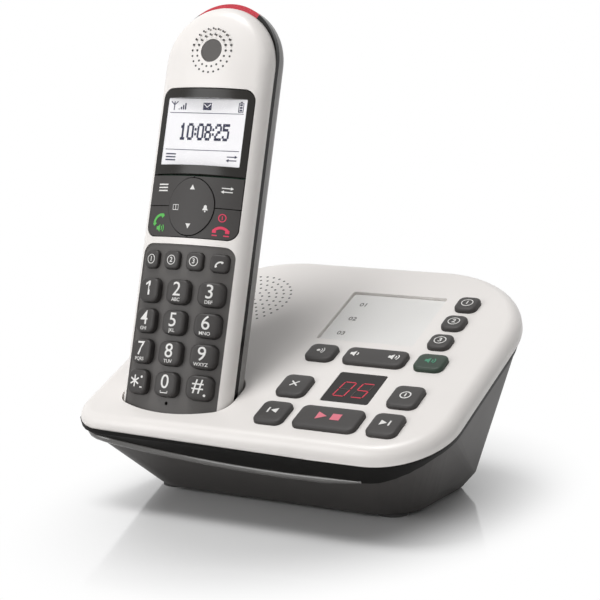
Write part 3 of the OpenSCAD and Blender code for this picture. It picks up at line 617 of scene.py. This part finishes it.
WHITE_INK = ink("White ink", (0.80, 0.79, 0.77))
GREY_INK = ink("Grey ink", (0.16, 0.15, 0.145))
# Green, red, rose and teal print on the keys glows a little: painted light, not a lamp.
GREEN_INK = ink("Green ink", (0.085, 0.42, 0.075), 0.08)
RED_INK = ink("Red ink", (0.66, 0.035, 0.095), 0.10)
ROSE_INK = ink("Rose ink", (0.66, 0.16, 0.21), 0.08)
TEAL_INK = ink("Teal ink", (0.045, 0.24, 0.14), 0.05)
NAVY_INK = ink("Display segment", (0.012, 0.014, 0.055))
LED_LIT = ink("Lit counter segment", (0.48, 0.018, 0.045), 0.22)
LED_DARK = ink("Dark counter segment", (0.022, 0.009, 0.009))
key_inks = (WHITE_INK, GREEN_INK, RED_INK, ROSE_INK, TEAL_INK)
print("inks on the keys:", ", ".join(made.name for made in key_inks))

# %% [markdown]
# ### Words and signs as meshes
# A font curve is turned into a mesh, then each of its points is set on the key's own upper skin, so
# the print bends with the key. Signs are outlines in millimetres, laid on the skin in the same way.

# %% Helpers that print letters and signs
INK_T = 0.07 * MM


def print_mesh(name, points, faces, at, skin, axes, body, finish):
    """Lays flat points, whose third number is a height in the ink, on an upper skin."""
    placed = []
    for x, y, z in points:
        px, py = at[0] + x, at[1] + y
        placed.append(axes @ Vector((px, py, skin(px, py) + z)))
    piece("print_" + name, placed, faces, body, finish)


def letters(name, words, size, at, skin, axes, body, finish, bold=0.0):
    """Prints words of a given letter size, centred on a place."""
    text = bpy.data.curves.new(name, "FONT")
    text.body = words
    text.size = size
    text.align_x = "CENTER"
    text.align_y = "CENTER"
    text.offset = bold * size
    text.resolution_u = 3
    text.extrude = INK_T / 2
    holder = bpy.data.objects.new(name, text)
    scene.collection.objects.link(holder)
    bpy.context.view_layer.update()
    mesh = holder.evaluated_get(bpy.context.evaluated_depsgraph_get()).to_mesh()
    points = [(v.co.x, v.co.y, v.co.z + INK_T / 2) for v in mesh.vertices]
    faces = [list(face.vertices) for face in mesh.polygons]
    bpy.data.objects.remove(holder)
    bpy.data.curves.remove(text)
    print_mesh(name, points, faces, at, skin, axes, body, finish)


def sign(name, shapes, at, skin, axes, body, finish, scale=MM):
    """Prints closed outlines, given anticlockwise in millimetres, as thin solids."""
    points, faces = [], []
    for shape in shapes:
        start, count = len(points), len(shape)
        for z in (0.0, INK_T):
            points += [(x * scale, y * scale, z) for x, y in shape]
        faces.append([start + i for i in reversed(range(count))])
        faces.append([start + count + i for i in range(count)])
        faces += join_rings(start, start + count, count)
    print_mesh(name, points, faces, at, skin, axes, body, finish)


print("print is", round(INK_T / MM, 2), "mm thick")

# %% [markdown]
# ### A small set of drawing tools
# Every sign is put together from arcs, boxes and pen strokes, in millimetres. A pen stroke is a
# line that is widened to both sides. The few signs that more than one key carries are drawn here
# too.

# %% Arcs, strokes, boxes and the shared signs
def arc(cx, cy, r, start, end, steps=10):
    """Points along an arc, angles in degrees."""
    angles = [math.radians(start + (end - start) * i / steps) for i in range(steps + 1)]
    return [(cx + r * math.cos(a), cy + r * math.sin(a)) for a in angles]


def disc(r, x=0.0, y=0.0):
    """The outline of a small round spot, with twelve corners."""
    return arc(x, y, r, 0, 330, 11)


def stroke(line, width):
    """The outline of a pen stroke along a line, anticlockwise."""
    left, right = [], []
    for i, (x, y) in enumerate(line):
        ax, ay = line[max(i - 1, 0)]
        bx, by = line[min(i + 1, len(line) - 1)]
        length = math.hypot(bx - ax, by - ay)
        nx, ny = -(by - ay) / length * width / 2, (bx - ax) / length * width / 2
        left.append((x + nx, y + ny))
        right.append((x - nx, y - ny))
    return right + left[::-1]


def box(x0, y0, x1, y1):
    """A rectangle between two corners."""
    return [(x0, y0), (x1, y0), (x1, y1), (x0, y1)]


def shift(shapes, dx, dy):
    """Outlines moved aside."""
    return [[(x + dx, y + dy) for x, y in shape] for shape in shapes]


def turn(shapes, degrees):
    """Outlines turned anticlockwise."""
    c, s = math.cos(math.radians(degrees)), math.sin(math.radians(degrees))
    return [[(x * c - y * s, x * s + y * c) for x, y in shape] for shape in shapes]


def ring_sign(r, width):
    """A ring, drawn as two half rings."""
    return [stroke(arc(0, 0, r, start, start + 180, 16), width) for start in (0, 180)]


def receiver():
    """The old receiver sign: a bow with two cups."""
    bow = stroke(arc(0, -2.6, 2.9, 42, 138, 14), 0.8)
    return [bow, box(-2.6, -1.3, -1.4, -0.4), box(1.4, -1.3, 2.6, -0.4)]


def loudspeaker(waves):
    """A loudspeaker's cone with some waves before it."""
    cone = [(-1.5, -0.5), (-0.9, -0.5), (-0.1, -1.2), (-0.1, 1.2), (-0.9, 0.5), (-1.5, 0.5)]
    return [cone] + [stroke(arc(-0.2, 0, 0.85 + 0.7 * i, -42, 42, 8), 0.32) for i in range(waves)]


TRIANGLE = [(-1.0, -1.15), (1.0, 0), (-1.0, 1.15)]
print("a receiver sign has", len(receiver()), "outlines")

# %% [markdown]
# ## Legends of the number keys
# A telephone dial has digits with groups of letters under them, the same on every phone. The font's
# digit one is too thin at this size, so that one is drawn as an outline. The star is three crossed
# strokes, and two dark pips beside the five tell a finger where it is.

# %% Number keys: digits and the letter groups of a telephone dial
DIGIT_SIZE = 7.7 * MM
GROUP_SIZE = 1.9 * MM
DIGIT_UP = 0.75 * MM
GROUP_DOWN = 3.1 * MM
PIP_OUT = 3.5
DIAL = {"key_2": ("2", "ABC"), "key_3": ("3", "DEF"), "key_4": ("4", "GHI"), "key_5": ("5", "JKL"),
        "key_6": ("6", "MNO"), "key_7": ("7", "PQRS"), "key_8": ("8", "TUV"),
        "key_9": ("9", "WXYZ"), "key_0": ("0", ""), "key_hash": ("#", "")}


def key_sign(node, name, shapes, dx=0.0, dy=0.0, finish=WHITE_INK, scale=1.0):
    """Prints a sign on a handset key, a little off its middle."""
    x, y = key_middle[node]
    at = (x + dx * MM, y + dy * MM)
    sign(node + "_" + name, shapes, at, key_top[node], HANDSET, node, finish, scale * MM)


def key_words(node, name, words, size, dy, bold):
    """Prints words on a handset key, above or below its middle."""
    x, y = key_middle[node]
    at = (x, y + dy)
    letters(node + "_" + name, words, size, at, key_top[node], HANDSET, node, WHITE_INK, bold)


for node, (digit, group) in DIAL.items():
    key_words(node, "digit", digit, DIGIT_SIZE, DIGIT_UP, 0.002)
    if group:
        key_words(node, "group", group, GROUP_SIZE, -GROUP_DOWN, 0.008)
one = [(0.0, -2.75), (0.85, -2.75), (0.85, 2.75), (0.15, 2.75), (-1.35, 1.75), (-1.35, 0.95),
       (0.0, 1.75)]
key_sign("key_1", "digit", [one], 0, DIGIT_UP / MM)
star_arms = [turn([stroke([(0, -2.3), (0, 2.3)], 0.6)], angle)[0] for angle in (0, 60, 120)]
key_sign("key_star", "star", star_arms, -0.8, 0.2)
key_sign("key_star", "marks", [disc(0.5, 2.6, 1.9), box(2.0, -2.3, 3.2, -1.9)])
key_sign("key_hash", "mark", [disc(0.5, 2.9, -2.7)])
space = stroke([(-1.5, 0.75), (-1.5, 0), (1.5, 0), (1.5, 0.75)], 0.36)
key_sign("key_0", "space", [space], 0, -3.3)
for side in (-1, 1):
    key_sign("key_5", "pip_%d" % (side + 1), [disc(0.35)], PIP_OUT * side, DIGIT_UP / MM,
             PAINT["socket_black"])
print("dial legends:", len(DIAL) + 2)

# %% [markdown]
# ## Signs on the other handset keys
# Memory keys carry a ringed number. The keys round the navigation key lie flush in the face, so
# their signs lie on the crown itself: bars for the menu, arrows for a second choice, a green
# receiver to talk and a red one to end.

# %% Memory and recall keys, and the keys round the navigation key
for number, node in enumerate(MEMORY_KEYS[:3], 1):
    key_sign(node, "ring", ring_sign(1.75, 0.28))
    key_words(node, "digit", str(number), 2.7 * MM, 0, 0.01)
key_sign("recall_key", "sign", turn(receiver(), 35), scale=0.72)


def flush_skin(x, y):
    """The crowned face itself."""
    return face_height(x)


nav_middle = middle_of(*span("nav_key", HANDSET))
nav_proud = key_proud("nav_key")


def nav_skin(x, y):
    """The navigation key's upper skin."""
    return face_height(x, nav_proud)


def nav_sign(name, shapes, dx, dy, scale=1.0):
    """Prints a sign on the navigation key, off its middle."""
    at = (nav_middle[0] + dx * MM, nav_middle[1] + dy * MM)
    sign("nav_" + name, shapes, at, nav_skin, HANDSET, "nav_key", WHITE_INK, scale * MM)


for name, angle, dy in (("up", 90, 7.6), ("down", -90, -7.6)):
    nav_sign(name, turn([TRIANGLE], angle), 0, dy, 0.95)
cover = [(-1.2, -1), (-1.2, 1), (1.2, 1), (1.2, -1), (-1.2, -1)]
nav_sign("book", [stroke(cover, 0.24), stroke([(0, -1), (0, 1)], 0.24)], -6.7, -0.5)
bell = [(-0.9, -0.5), (0.9, -0.5), (0.55, 0.1), (0.45, 0.8), (0, 1.1), (-0.45, 0.8), (-0.55, 0.1)]
nav_sign("bell", [bell, disc(0.25, 0, -0.85)], 6.6, -0.5, 1.3)
bars = [box(-1.7, y - 0.19, 1.7, y + 0.19) for y in (-0.9, 0, 0.9)]
arrows = [stroke([(-1.7, 0.55), (1.2, 0.55)], 0.3), [(1.0, 0.05), (1.9, 0.55), (1.0, 1.05)],
          stroke([(-1.2, -0.55), (1.7, -0.55)], 0.3),
          [(-1.0, -0.05), (-1.9, -0.55), (-1.0, -1.05)]]
menu_y = nav_middle[1] + 7.2 * MM
call_y = nav_middle[1] - 6.6 * MM
side_x = 14.4 * MM


def block_sign(node, name, shapes, x, y, finish=WHITE_INK, scale=1.0):
    """Prints a sign on one of the four keys round the navigation key."""
    at = (face_mid + x, y)
    sign(node + "_" + name, shapes, at, flush_skin, HANDSET, node, finish, scale * MM)


block_sign("menu_key", "bars", bars, -side_x, menu_y, scale=1.35)
block_sign("option_key", "arrows", arrows, side_x, menu_y, scale=1.3)
block_sign("talk_key", "receiver", turn(receiver(), 40), -side_x - 1.0 * MM, call_y + 1.9 * MM,
           GREEN_INK, 1.25)
block_sign("talk_key", "loud", loudspeaker(2), -side_x + 0.9 * MM, call_y - 2.2 * MM,
           GREEN_INK, 1.25)
block_sign("end_key", "receiver", receiver() + [box(-2.6, -2.2, 2.6, -1.85)],
           side_x - 0.6 * MM, call_y - 1.2 * MM, RED_INK, 1.3)
block_sign("end_key", "ring", ring_sign(1.45, 0.36) + [box(-0.16, -0.7, 0.16, 0.7)],
           side_x - 0.6 * MM, call_y + 3.0 * MM, RED_INK)
print("handset signs done")

# %% [markdown]
# ## Signs on the base keys
# The base has the signs of any message recorder: play and stop, one back, one forward, a cross to
# delete, a ring with a bar for power. Each is set at the middle of its key, with a shift where a
# key carries two.

# %% Signs on the base keys
def base_sign(node, name, shapes, finish=WHITE_INK, dx=0.0, scale=1.0):
    """Prints a sign on a base key, off its middle."""
    x, y = key_middle[node]
    at = (x + dx * MM, y)
    sign(node + "_" + name, shapes, at, key_top[node], DECK, node, finish, scale * MM)


for number in (1, 2, 3):
    node = "base_memory_key_%d" % number
    base_sign(node, "ring", ring_sign(2.3, 0.36))
    letters(node + "_digit", str(number), 3.5 * MM, key_middle[node], key_top[node], DECK, node,
            WHITE_INK, 0.012)
waves = [stroke(arc(-1.3, 0, r, -45, 45, 8), 0.34) for r in (1.6, 2.5)]
base_sign("page_key", "waves", [disc(0.75, -1.3)] + waves)
base_sign("volume_key", "less", loudspeaker(1), dx=-8.2, scale=1.5)
base_sign("volume_key", "more", loudspeaker(2), dx=8.0, scale=1.5)
base_sign("speaker_key", "sign", loudspeaker(2), TEAL_INK, scale=1.45)
cross = [stroke([(-1.5, -tilt), (1.5, tilt)], 0.62) for tilt in (1.5, -1.5)]
base_sign("delete_key", "cross", cross)
base_sign("power_key", "ring", ring_sign(2.0, 0.5) + [box(-0.27, -1.0, 0.27, 1.0)])
left_triangle = [(-x, -y) for x, y in TRIANGLE]
back_one = shift([left_triangle], 0.5, 0) + [box(-1.5, -1.15, -1.0, 1.15)]
forward_one = shift([TRIANGLE], -0.5, 0) + [box(1.0, -1.15, 1.5, 1.15)]
base_sign("previous_key", "sign", back_one, scale=1.35)
base_sign("next_key", "sign", forward_one, scale=1.35)
base_sign("play_key", "play", [TRIANGLE], ROSE_INK, dx=-2.6, scale=2.0)
base_sign("play_key", "stop", [box(-1, -1, 1, 1)], ROSE_INK, dx=3.2, scale=1.9)
print("base signs done")

# %% [markdown]
# ## The display window
# The handset's window is a dark printed frame with a clear middle, and the display lies below it.
# The face is crowned but a display is flat, so one slab with a picture on it would be wrong at the
# sides. The frame is therefore a real ring with a hole that follows the crown, the display is a
# flat pale sheet at the bottom of that hole, and a thin clear pane closes it flush with the face.

# %% Window frame, display sheet and clear pane
SHEET_UNDER = 0.25 * MM
FRAME_CORNER = 4.5 * MM
FOOT_CORNER = 0.3 * MM
VIEW_CORNER = 0.5 * MM
FRAME_EDGE = 0.35 * MM
FRAME_DEEP = 1.6 * MM
RING_ALONG = 14
SHEET_T, SHEET_MARGIN = 0.4 * MM, 0.02 * MM
PANE_T, PANE_MARGIN, PANE_UNDER = 0.15 * MM, 0.03 * MM, 0.02 * MM
lcd_low, lcd_high = span("lcd_module", HANDSET)
view_w, view_h = lcd_high.x - lcd_low.x, lcd_high.y - lcd_low.y
view_mid = (face_mid, (lcd_low.y + lcd_high.y) / 2)
frame_mid = middle_of(window_low, window_high)
frame_w, frame_h = window_high.x - window_low.x, window_high.y - window_low.y
sheet_z = face_height(face_mid + view_w / 2) - SHEET_UNDER


def window_ring(mid, width, height, radii, drop):
    """A rounded ring that lies on the crowned face or below it."""
    ring = rounded_ring(width, height, radii, along=RING_ALONG)
    return [(mid[0] + x, mid[1] + y, face_height(mid[0] + x) - drop) for x, y in ring]


outer_round = [FRAME_CORNER, FRAME_CORNER, FOOT_CORNER, FOOT_CORNER]
edge_round = [r - min(FRAME_EDGE, r / 2) for r in outer_round]
view_ring = window_ring(view_mid, view_w, view_h, [VIEW_CORNER] * 4, 0)
frame_rings = [
    window_ring(frame_mid, frame_w, frame_h, outer_round, FRAME_DEEP),
    window_ring(frame_mid, frame_w, frame_h, outer_round, FRAME_EDGE),
    window_ring(frame_mid, frame_w - 2 * FRAME_EDGE, frame_h - 2 * FRAME_EDGE, edge_round, 0),
    view_ring,
    [(x, y, sheet_z - SHEET_UNDER) for x, y, z in view_ring]]
window_frame = piece("window_frame", [HANDSET @ Vector(p) for ring in frame_rings for p in ring],
                     band_skin(frame_rings, endless=True), "handset", PAINT["display_glass"],
                     smooth=True)
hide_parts("display_window")


def window_sheet(name, top, thickness, margin, finish, strips=16):
    """A thin closed sheet in the window's hole: top(x) is the height of its upper side."""
    points = []
    for level in (thickness, 0.0):
        for y in (view_mid[1] - view_h / 2 + margin, view_mid[1] + view_h / 2 - margin):
            for i in range(strips + 1):
                x = face_mid + (view_w - 2 * margin) * (i / strips - 0.5)
                points.append(HANDSET @ Vector((x, y, top(x) - level)))
    row = strips + 1
    faces = []
    for i in range(strips):
        faces.append([2 * row + i, 2 * row + i + 1, 3 * row + i + 1, 3 * row + i])
        faces.append([row + i, row + i + 1, i + 1, i])
        faces.append([i, i + 1, 2 * row + i + 1, 2 * row + i])
        faces.append([3 * row + i, 3 * row + i + 1, row + i + 1, row + i])
    faces.append([0, 2 * row, 3 * row, row])
    faces.append([strips, row + strips, 3 * row + strips, 2 * row + strips])
    return piece(name, points, faces, "handset", finish, smooth=True)


display_sheet = window_sheet("display_sheet", lambda x: sheet_z, SHEET_T, SHEET_MARGIN,
                             PAINT["lcd_glass"])
window_pane = window_sheet("window_pane", lambda x: face_height(x) - PANE_UNDER, PANE_T,
                           PANE_MARGIN, PAINT["clear_sheet"])
print("display: view", round(view_w / MM, 1), "by", round(view_h / MM, 1), "mm")

# %% [markdown]
# ## What the display shows
# A display of this kind draws with dots, so its clock is written in a five by seven dot type: each
# dot is a small box, and neighbours overlap a little to read as one stroke. A picture texture could
# show the same, but these boxes stay sharp and need no image file.

# %% What the display shows
def display_skin(x, y):
    """The flat display sheet."""
    return sheet_z


def show(name, shapes, x, y, scale=1.0, skin=display_skin, finish=NAVY_INK):
    """Draws on the display, off its middle."""
    at = (view_mid[0] + x * MM, view_mid[1] + y * MM)
    sign("display_" + name, shapes, at, skin, HANDSET, "handset", finish, scale * MM)


DOTS = {"0": "01110 10001 10001 10001 10001 10001 01110",
        "1": "00100 01100 00100 00100 00100 00100 01110",
        "2": "01110 10001 00001 00110 01000 10000 11111",
        "5": "11111 10000 11110 00001 00001 10001 01110",
        "8": "01110 10001 10001 01110 10001 10001 01110",
        ":": "0 0 1 0 1 0 0"}
DOT_W, DOT_H, DOT_GAP = 0.56, 0.94, 0.62
MORE_X, MORE_Y = 0.14, 0.06


def dot_words(words):
    """Outlines of words in a five by seven dot type, centred on their middle."""
    shapes, x = [], 0.0
    for letter in words:
        rows = DOTS[letter].split()
        for row, dots in enumerate(rows):
            for column, dot in enumerate(dots):
                if dot == "1":
                    left, foot = x + column * DOT_W, (2.5 - row) * DOT_H
                    shapes.append(box(left - MORE_X, foot - MORE_Y,
                                      left + DOT_W + MORE_X, foot + DOT_H + MORE_Y))
        x += len(rows[0]) * DOT_W + DOT_GAP
    return shift(shapes, (DOT_GAP - x) / 2, 0)


show("clock", dot_words("10:08:25"), 0, 0.2)
mast = [stroke([(-1.3, 1.5), (0, 0.3), (1.3, 1.5)], 0.34), stroke([(0, 1.5), (0, -1.5)], 0.36)]
show("mast", mast, -15.0, 10.3, 1.15)
show("bars", [box(i, -1.5, i + 0.6, -1.2 + 0.8 * i) for i in (0, 1, 2, 3)], -13.0, 10.3, 0.95)
show("letter", [box(-1.9, -1.45, 1.9, 1.45)], 0, 10.3)
show("letter_fold", [stroke([(-1.5, 0.95), (0, -0.35), (1.5, 0.95)], 0.4)], 0, 10.3,
     skin=lambda x, y: sheet_z + INK_T, finish=PAINT["lcd_glass"])
cell = stroke([(-1.0, -1.9), (1.0, -1.9), (1.0, 1.6), (-1.0, 1.6), (-1.0, -1.9)], 0.34)
charge = [box(-0.55, y - 0.36, 0.55, y + 0.36) for y in (-1.2, -0.15, 0.9)]
show("battery", [cell, box(-0.45, 1.75, 0.45, 2.2)] + charge, 15.2, 10.2)
rule = [box(-16.6, -0.12, 16.6, 0.12)]
show("rule_up", rule, 0, 7.6)
show("rule_low", rule, 0, -7.0)
show("left_hint", bars, -13.8, -10.0, 1.3)
show("right_hint", arrows, 13.8, -10.0, 1.3)
print("display picture done")

# %% [markdown]
# ## Message counter
# The base counts messages on two red digits of seven bars each, behind a smoked window. The bars
# that are off show faintly. Here all bars lie on the window's upper side, because its finish is
# opaque. Each bar is a hexagon, and every digit is the same seven hexagons, leaning a little to the
# right.

# %% Two digits of seven bars
counter_low, counter_high = span("counter_window", DECK)
counter_mid = middle_of(counter_low, counter_high)
BAR_L, BAR_W, BAR_GAP, LEAN = 4.7, 0.55, 0.15, 0.14
DIGIT_PITCH, DIGIT_START, DIGIT_DOWN = 7.6, 3.4, 1.2
BARS = {"top": (0, 1, 0), "upper_left": (-0.5, 0.5, 1), "upper_right": (0.5, 0.5, 1),
        "middle": (0, 0, 0), "lower_left": (-0.5, -0.5, 1), "lower_right": (0.5, -0.5, 1),
        "foot": (0, -1, 0)}
LIT = [{"top", "upper_left", "upper_right", "lower_left", "lower_right", "foot"},
       {"top", "upper_left", "middle", "lower_right", "foot"}]


def bar_shape(cx, cy, upright):
    """One bar of a digit, upright or flat, its middle given in bar lengths."""
    half, tip = BAR_L / 2 - BAR_GAP, BAR_W / 2
    hexagon = [(-half, 0), (-half + tip, -tip), (half - tip, -tip),
               (half, 0), (half - tip, tip), (-half + tip, tip)]
    if upright:
        hexagon = [(-y, x) for x, y in hexagon]
    placed = [(x + cx * BAR_L, y + cy * BAR_L) for x, y in hexagon]
    return [(x + LEAN * y, y) for x, y in placed]


def counter_skin(x, y):
    """The counter window's upper side."""
    return counter_high.z


for digit, lit in enumerate(LIT):
    at = (counter_mid[0] + (digit * DIGIT_PITCH - DIGIT_START) * MM,
          counter_mid[1] - DIGIT_DOWN * MM)
    shapes = {True: [], False: []}
    for name, bar in BARS.items():
        shapes[name in lit].append(bar_shape(*bar))
    sign("counter_lit_%d" % digit, shapes[True], at, counter_skin, DECK, "base", LED_LIT)
    sign("counter_off_%d" % digit, shapes[False], at, counter_skin, DECK, "base", LED_DARK)
print("counter digits:", len(LIT))

# %% [markdown]
# ## Shade in the earpiece holes
# Through the small holes of the earpiece one sees only dark. A sheet behind the shell would lie too
# deep to catch any light, so each hole gets a small dark disc of painted shade a little below the
# face.

# %% Dark discs in the earpiece holes
EAR_RINGS = ((18, 6.4), (24, 8.7))
EAR_HOLE_R = 0.44
HOLE_SHADE_UNDER = 0.1 * MM
ear_middle = middle_of(*span("earpiece_disc", HANDSET))


def cloth_skin(x, y):
    """A skin a little below the crowned face."""
    return face_height(x) - HOLE_SHADE_UNDER


holes = []
for count, radius in EAR_RINGS:
    for x, y in arc(0, 0, radius, 0, 360 - 360 / count, count - 1):
        holes.append(disc(EAR_HOLE_R, x, y))
# Dark discs of painted shade, one in each earpiece hole.
sign("earpiece_hole_shade", holes, ear_middle, cloth_skin, HANDSET, "handset", PAINT["socket_black"])
print("earpiece holes:", len(holes))

# %% [markdown]
# ## Grille hole shade and seam
# The speaker's grille is an insert of its own in the deck. Its holes get the same dark discs of
# painted shade as the earpiece. On the real cover the grille is probably moulded in one with the
# deck, so a thin ring fills the seam around the insert.

# %% The same painted shade in the speaker grille's holes, and a ring that hides the grille's seam
GRILLE_RINGS, GRILLE_HOLE_R, GRILLE_EDGE, SEAM = 6, 0.54, 2.0, 0.16
grille_low, grille_high = span("speaker_grille", DECK)
grille_mid = middle_of(grille_low, grille_high)
grille_r = (grille_high.x - grille_low.x) / 2 / MM
step_r = (grille_r - GRILLE_EDGE) / GRILLE_RINGS
holes = [disc(GRILLE_HOLE_R)]
for ring in range(1, GRILLE_RINGS + 1):
    for x, y in arc(0, 0, ring * step_r, 0, 360 - 60 / ring, 6 * ring - 1):
        holes.append(disc(GRILLE_HOLE_R, x, y))
# Dark discs of painted shade, one in each grille hole.
sign("grille_hole_shade", holes, grille_mid, lambda x, y: grille_high.z - HOLE_SHADE_UNDER, DECK, "base",
     PAINT["socket_black"])
seam = [stroke(arc(0, 0, grille_r + SEAM / 2, start, start + 90, 24), SEAM)
        for start in (0, 90, 180, 270)]
sign("grille_seam", seam, grille_mid, lambda x, y: grille_high.z - INK_T, DECK, "base",
     PAINT["white_shell"])
print("grille holes:", len(holes))

# %% [markdown]
# ## The directory card
# Under the clear cover lies a paper card with a line for each memory key. Plain numbers mark its
# lines, printed as the keys are.

# %% The directory card: three numbered lines
CARD_TOP, CARD_LINE = 2.2, 11.0
CARD_MARGIN, CARD_DIGIT = 7.4 * MM, 3.6 * MM
card_low, card_high = span("label_card", DECK)


def card_skin(x, y):
    """The card's upper side."""
    return card_high.z


for number in (1, 2, 3):
    at = (card_low.x + CARD_MARGIN, card_high.y - (CARD_TOP + CARD_LINE * (number - 0.5)) * MM)
    letters("card_%d" % number, "0%d" % number, CARD_DIGIT, at, card_skin, DECK, "base",
            GREY_INK, 0.012)
print("card lines: 3")

# %% [markdown]
# ## The photo's view
# The camera was found by matching the corners of the deck, the keys and the handset to the photo.
# It looks slightly down and from the phone's right. A long lens keeps the perspective as weak as in
# the photo.

# %% Camera
scene.view_settings.view_transform = "Standard"

CAMERA_AT = Vector((0.3269, -0.6206, 0.1850))
CAMERA_TURN = math.radians(28.3)
CAMERA_DIP = math.radians(8.63)
LENS_MM = 108.0
SENSOR_MM = 36.0

lens = bpy.data.cameras.new("Photo camera")
lens.lens = LENS_MM
lens.sensor_width = SENSOR_MM
camera = bpy.data.objects.new("Photo camera", lens)
scene.collection.objects.link(camera)
camera.location = CAMERA_AT
camera.rotation_euler = (math.pi / 2 - CAMERA_DIP, 0, CAMERA_TURN)
scene.camera = camera
print("camera at", [round(c, 3) for c in CAMERA_AT], "m with a", LENS_MM, "mm lens")

# %% [markdown]
# ## White floor that keeps its shadow
# Product photos stand on white paper: the shadow and the faint mirror image near the object are
# real, and farther out the paper is plain white. Brighter lamps could bleach the paper, but they
# would bleach the white shells too. Here the paper is a glossy white surface near the phone and
# fades into white light with distance, and only rays that come from the camera, from a mirror or
# through glass see that fade.

# %% A white studio floor
FLOOR_SIZE = 6.0
WHITE_FROM = 0.070
WHITE_BY = 0.145
FADE_SHAPE = (1.4, 0.9)
PAPER_TONE, PAPER_ROUGHNESS = 0.90, 0.09
sheet = bpy.data.meshes.new("Studio floor")
half = FLOOR_SIZE / 2
corners = [(-half, -half, 0), (half, -half, 0), (half, half, 0), (-half, half, 0)]
sheet.from_pydata(corners, [], [(0, 1, 2, 3)])
floor = bpy.data.objects.new("Studio floor", sheet)
scene.collection.objects.link(floor)


def white_rays(node_tree):
    """A value of one for rays that come from the camera, from a mirror or through glass."""
    light_path = node_tree.nodes.new("ShaderNodeLightPath")
    value = light_path.outputs["Is Camera Ray"]
    for label in ("Is Glossy Ray", "Is Transmission Ray"):
        either = node_tree.nodes.new("ShaderNodeMath")
        either.operation = "MAXIMUM"
        node_tree.links.new(value, either.inputs[0])
        node_tree.links.new(light_path.outputs[label], either.inputs[1])
        value = either.outputs["Value"]
    return value


paper = bpy.data.materials.new("Studio paper")
paper.use_nodes = True
tree = paper.node_tree
surface = shader_of(paper)
surface.inputs["Base Color"].default_value = (PAPER_TONE, PAPER_TONE, PAPER_TONE, 1)
surface.inputs["Roughness"].default_value = PAPER_ROUGHNESS
surface.inputs["Specular IOR Level"].default_value = 0.5
glow = tree.nodes.new("ShaderNodeEmission")
glow.inputs["Strength"].default_value = 1.0
spot = tree.nodes.new("ShaderNodeTexCoord")
squash = tree.nodes.new("ShaderNodeVectorMath")
squash.operation = "MULTIPLY"
squash.inputs[1].default_value = (*FADE_SHAPE, 1)
distance = tree.nodes.new("ShaderNodeVectorMath")
distance.operation = "LENGTH"
fade = tree.nodes.new("ShaderNodeMapRange")
fade.interpolation_type = "SMOOTHSTEP"
fade.inputs["From Min"].default_value = WHITE_FROM
fade.inputs["From Max"].default_value = WHITE_BY
gate = tree.nodes.new("ShaderNodeMath")
gate.operation = "MULTIPLY"
blend = tree.nodes.new("ShaderNodeMixShader")
tree.links.new(spot.outputs["Object"], squash.inputs[0])
tree.links.new(squash.outputs["Vector"], distance.inputs[0])
tree.links.new(distance.outputs["Value"], fade.inputs["Value"])
tree.links.new(fade.outputs["Result"], gate.inputs[0])
tree.links.new(white_rays(tree), gate.inputs[1])
tree.links.new(gate.outputs["Value"], blend.inputs["Fac"])
tree.links.new(surface.outputs["BSDF"], blend.inputs[1])
tree.links.new(glow.outputs["Emission"], blend.inputs[2])
tree.links.new(blend.outputs["Shader"], tree.nodes["Material Output"].inputs["Surface"])
sheet.materials.append(paper)
print("floor: plain white from", WHITE_BY, "m out")

# %% [markdown]
# ## Soft lights
# Three soft lamps do the work: one overhead and a little to the left, so that the handset shades
# the deck beside it, one from the front left, where the camera finds its mirror image in every edge
# that runs across, and a weak one from the right that opens the shadows. The surround adds a low
# even level, and is pure white to the camera, to mirrors and through glass.

# %% Soft lights and the white surround
AMBIENT = 0.25
world = bpy.data.worlds.new("White surround")
scene.world = world
world.use_nodes = True
sky = world.node_tree
ambient = sky.nodes["Background"]
ambient.inputs["Color"].default_value = (1, 1, 1, 1)
ambient.inputs["Strength"].default_value = AMBIENT
white = sky.nodes.new("ShaderNodeBackground")
white.inputs["Color"].default_value = (1, 1, 1, 1)
choose = sky.nodes.new("ShaderNodeMixShader")
sky.links.new(white_rays(sky), choose.inputs["Fac"])
sky.links.new(ambient.outputs["Background"], choose.inputs[1])
sky.links.new(white.outputs["Background"], choose.inputs[2])
sky.links.new(choose.outputs["Shader"], sky.nodes["World Output"].inputs["Surface"])


PHONE_MIDDLE = Vector((0.0, 0.0, 0.08))


def softbox(title, at, side, watts):
    """A square lamp that points at the middle of the phone."""
    lamp = bpy.data.lights.new(title, "AREA")
    lamp.shape = "RECTANGLE"
    lamp.size = side
    lamp.size_y = side
    lamp.energy = watts
    holder = bpy.data.objects.new(title, lamp)
    scene.collection.objects.link(holder)
    holder.location = at
    holder.rotation_euler = (PHONE_MIDDLE - Vector(at)).to_track_quat("-Z", "Y").to_euler()


softbox("Overhead softbox", (-0.22, -0.25, 1.20), side=0.5, watts=8.3)
softbox("Front softbox", (-0.62, -1.06, 0.42), side=0.7, watts=5.3)
softbox("Right softbox", (1.05, -0.75, 0.65), side=0.8, watts=0.7)
print("lamps:", ", ".join(lamp.name for lamp in bpy.data.lights))
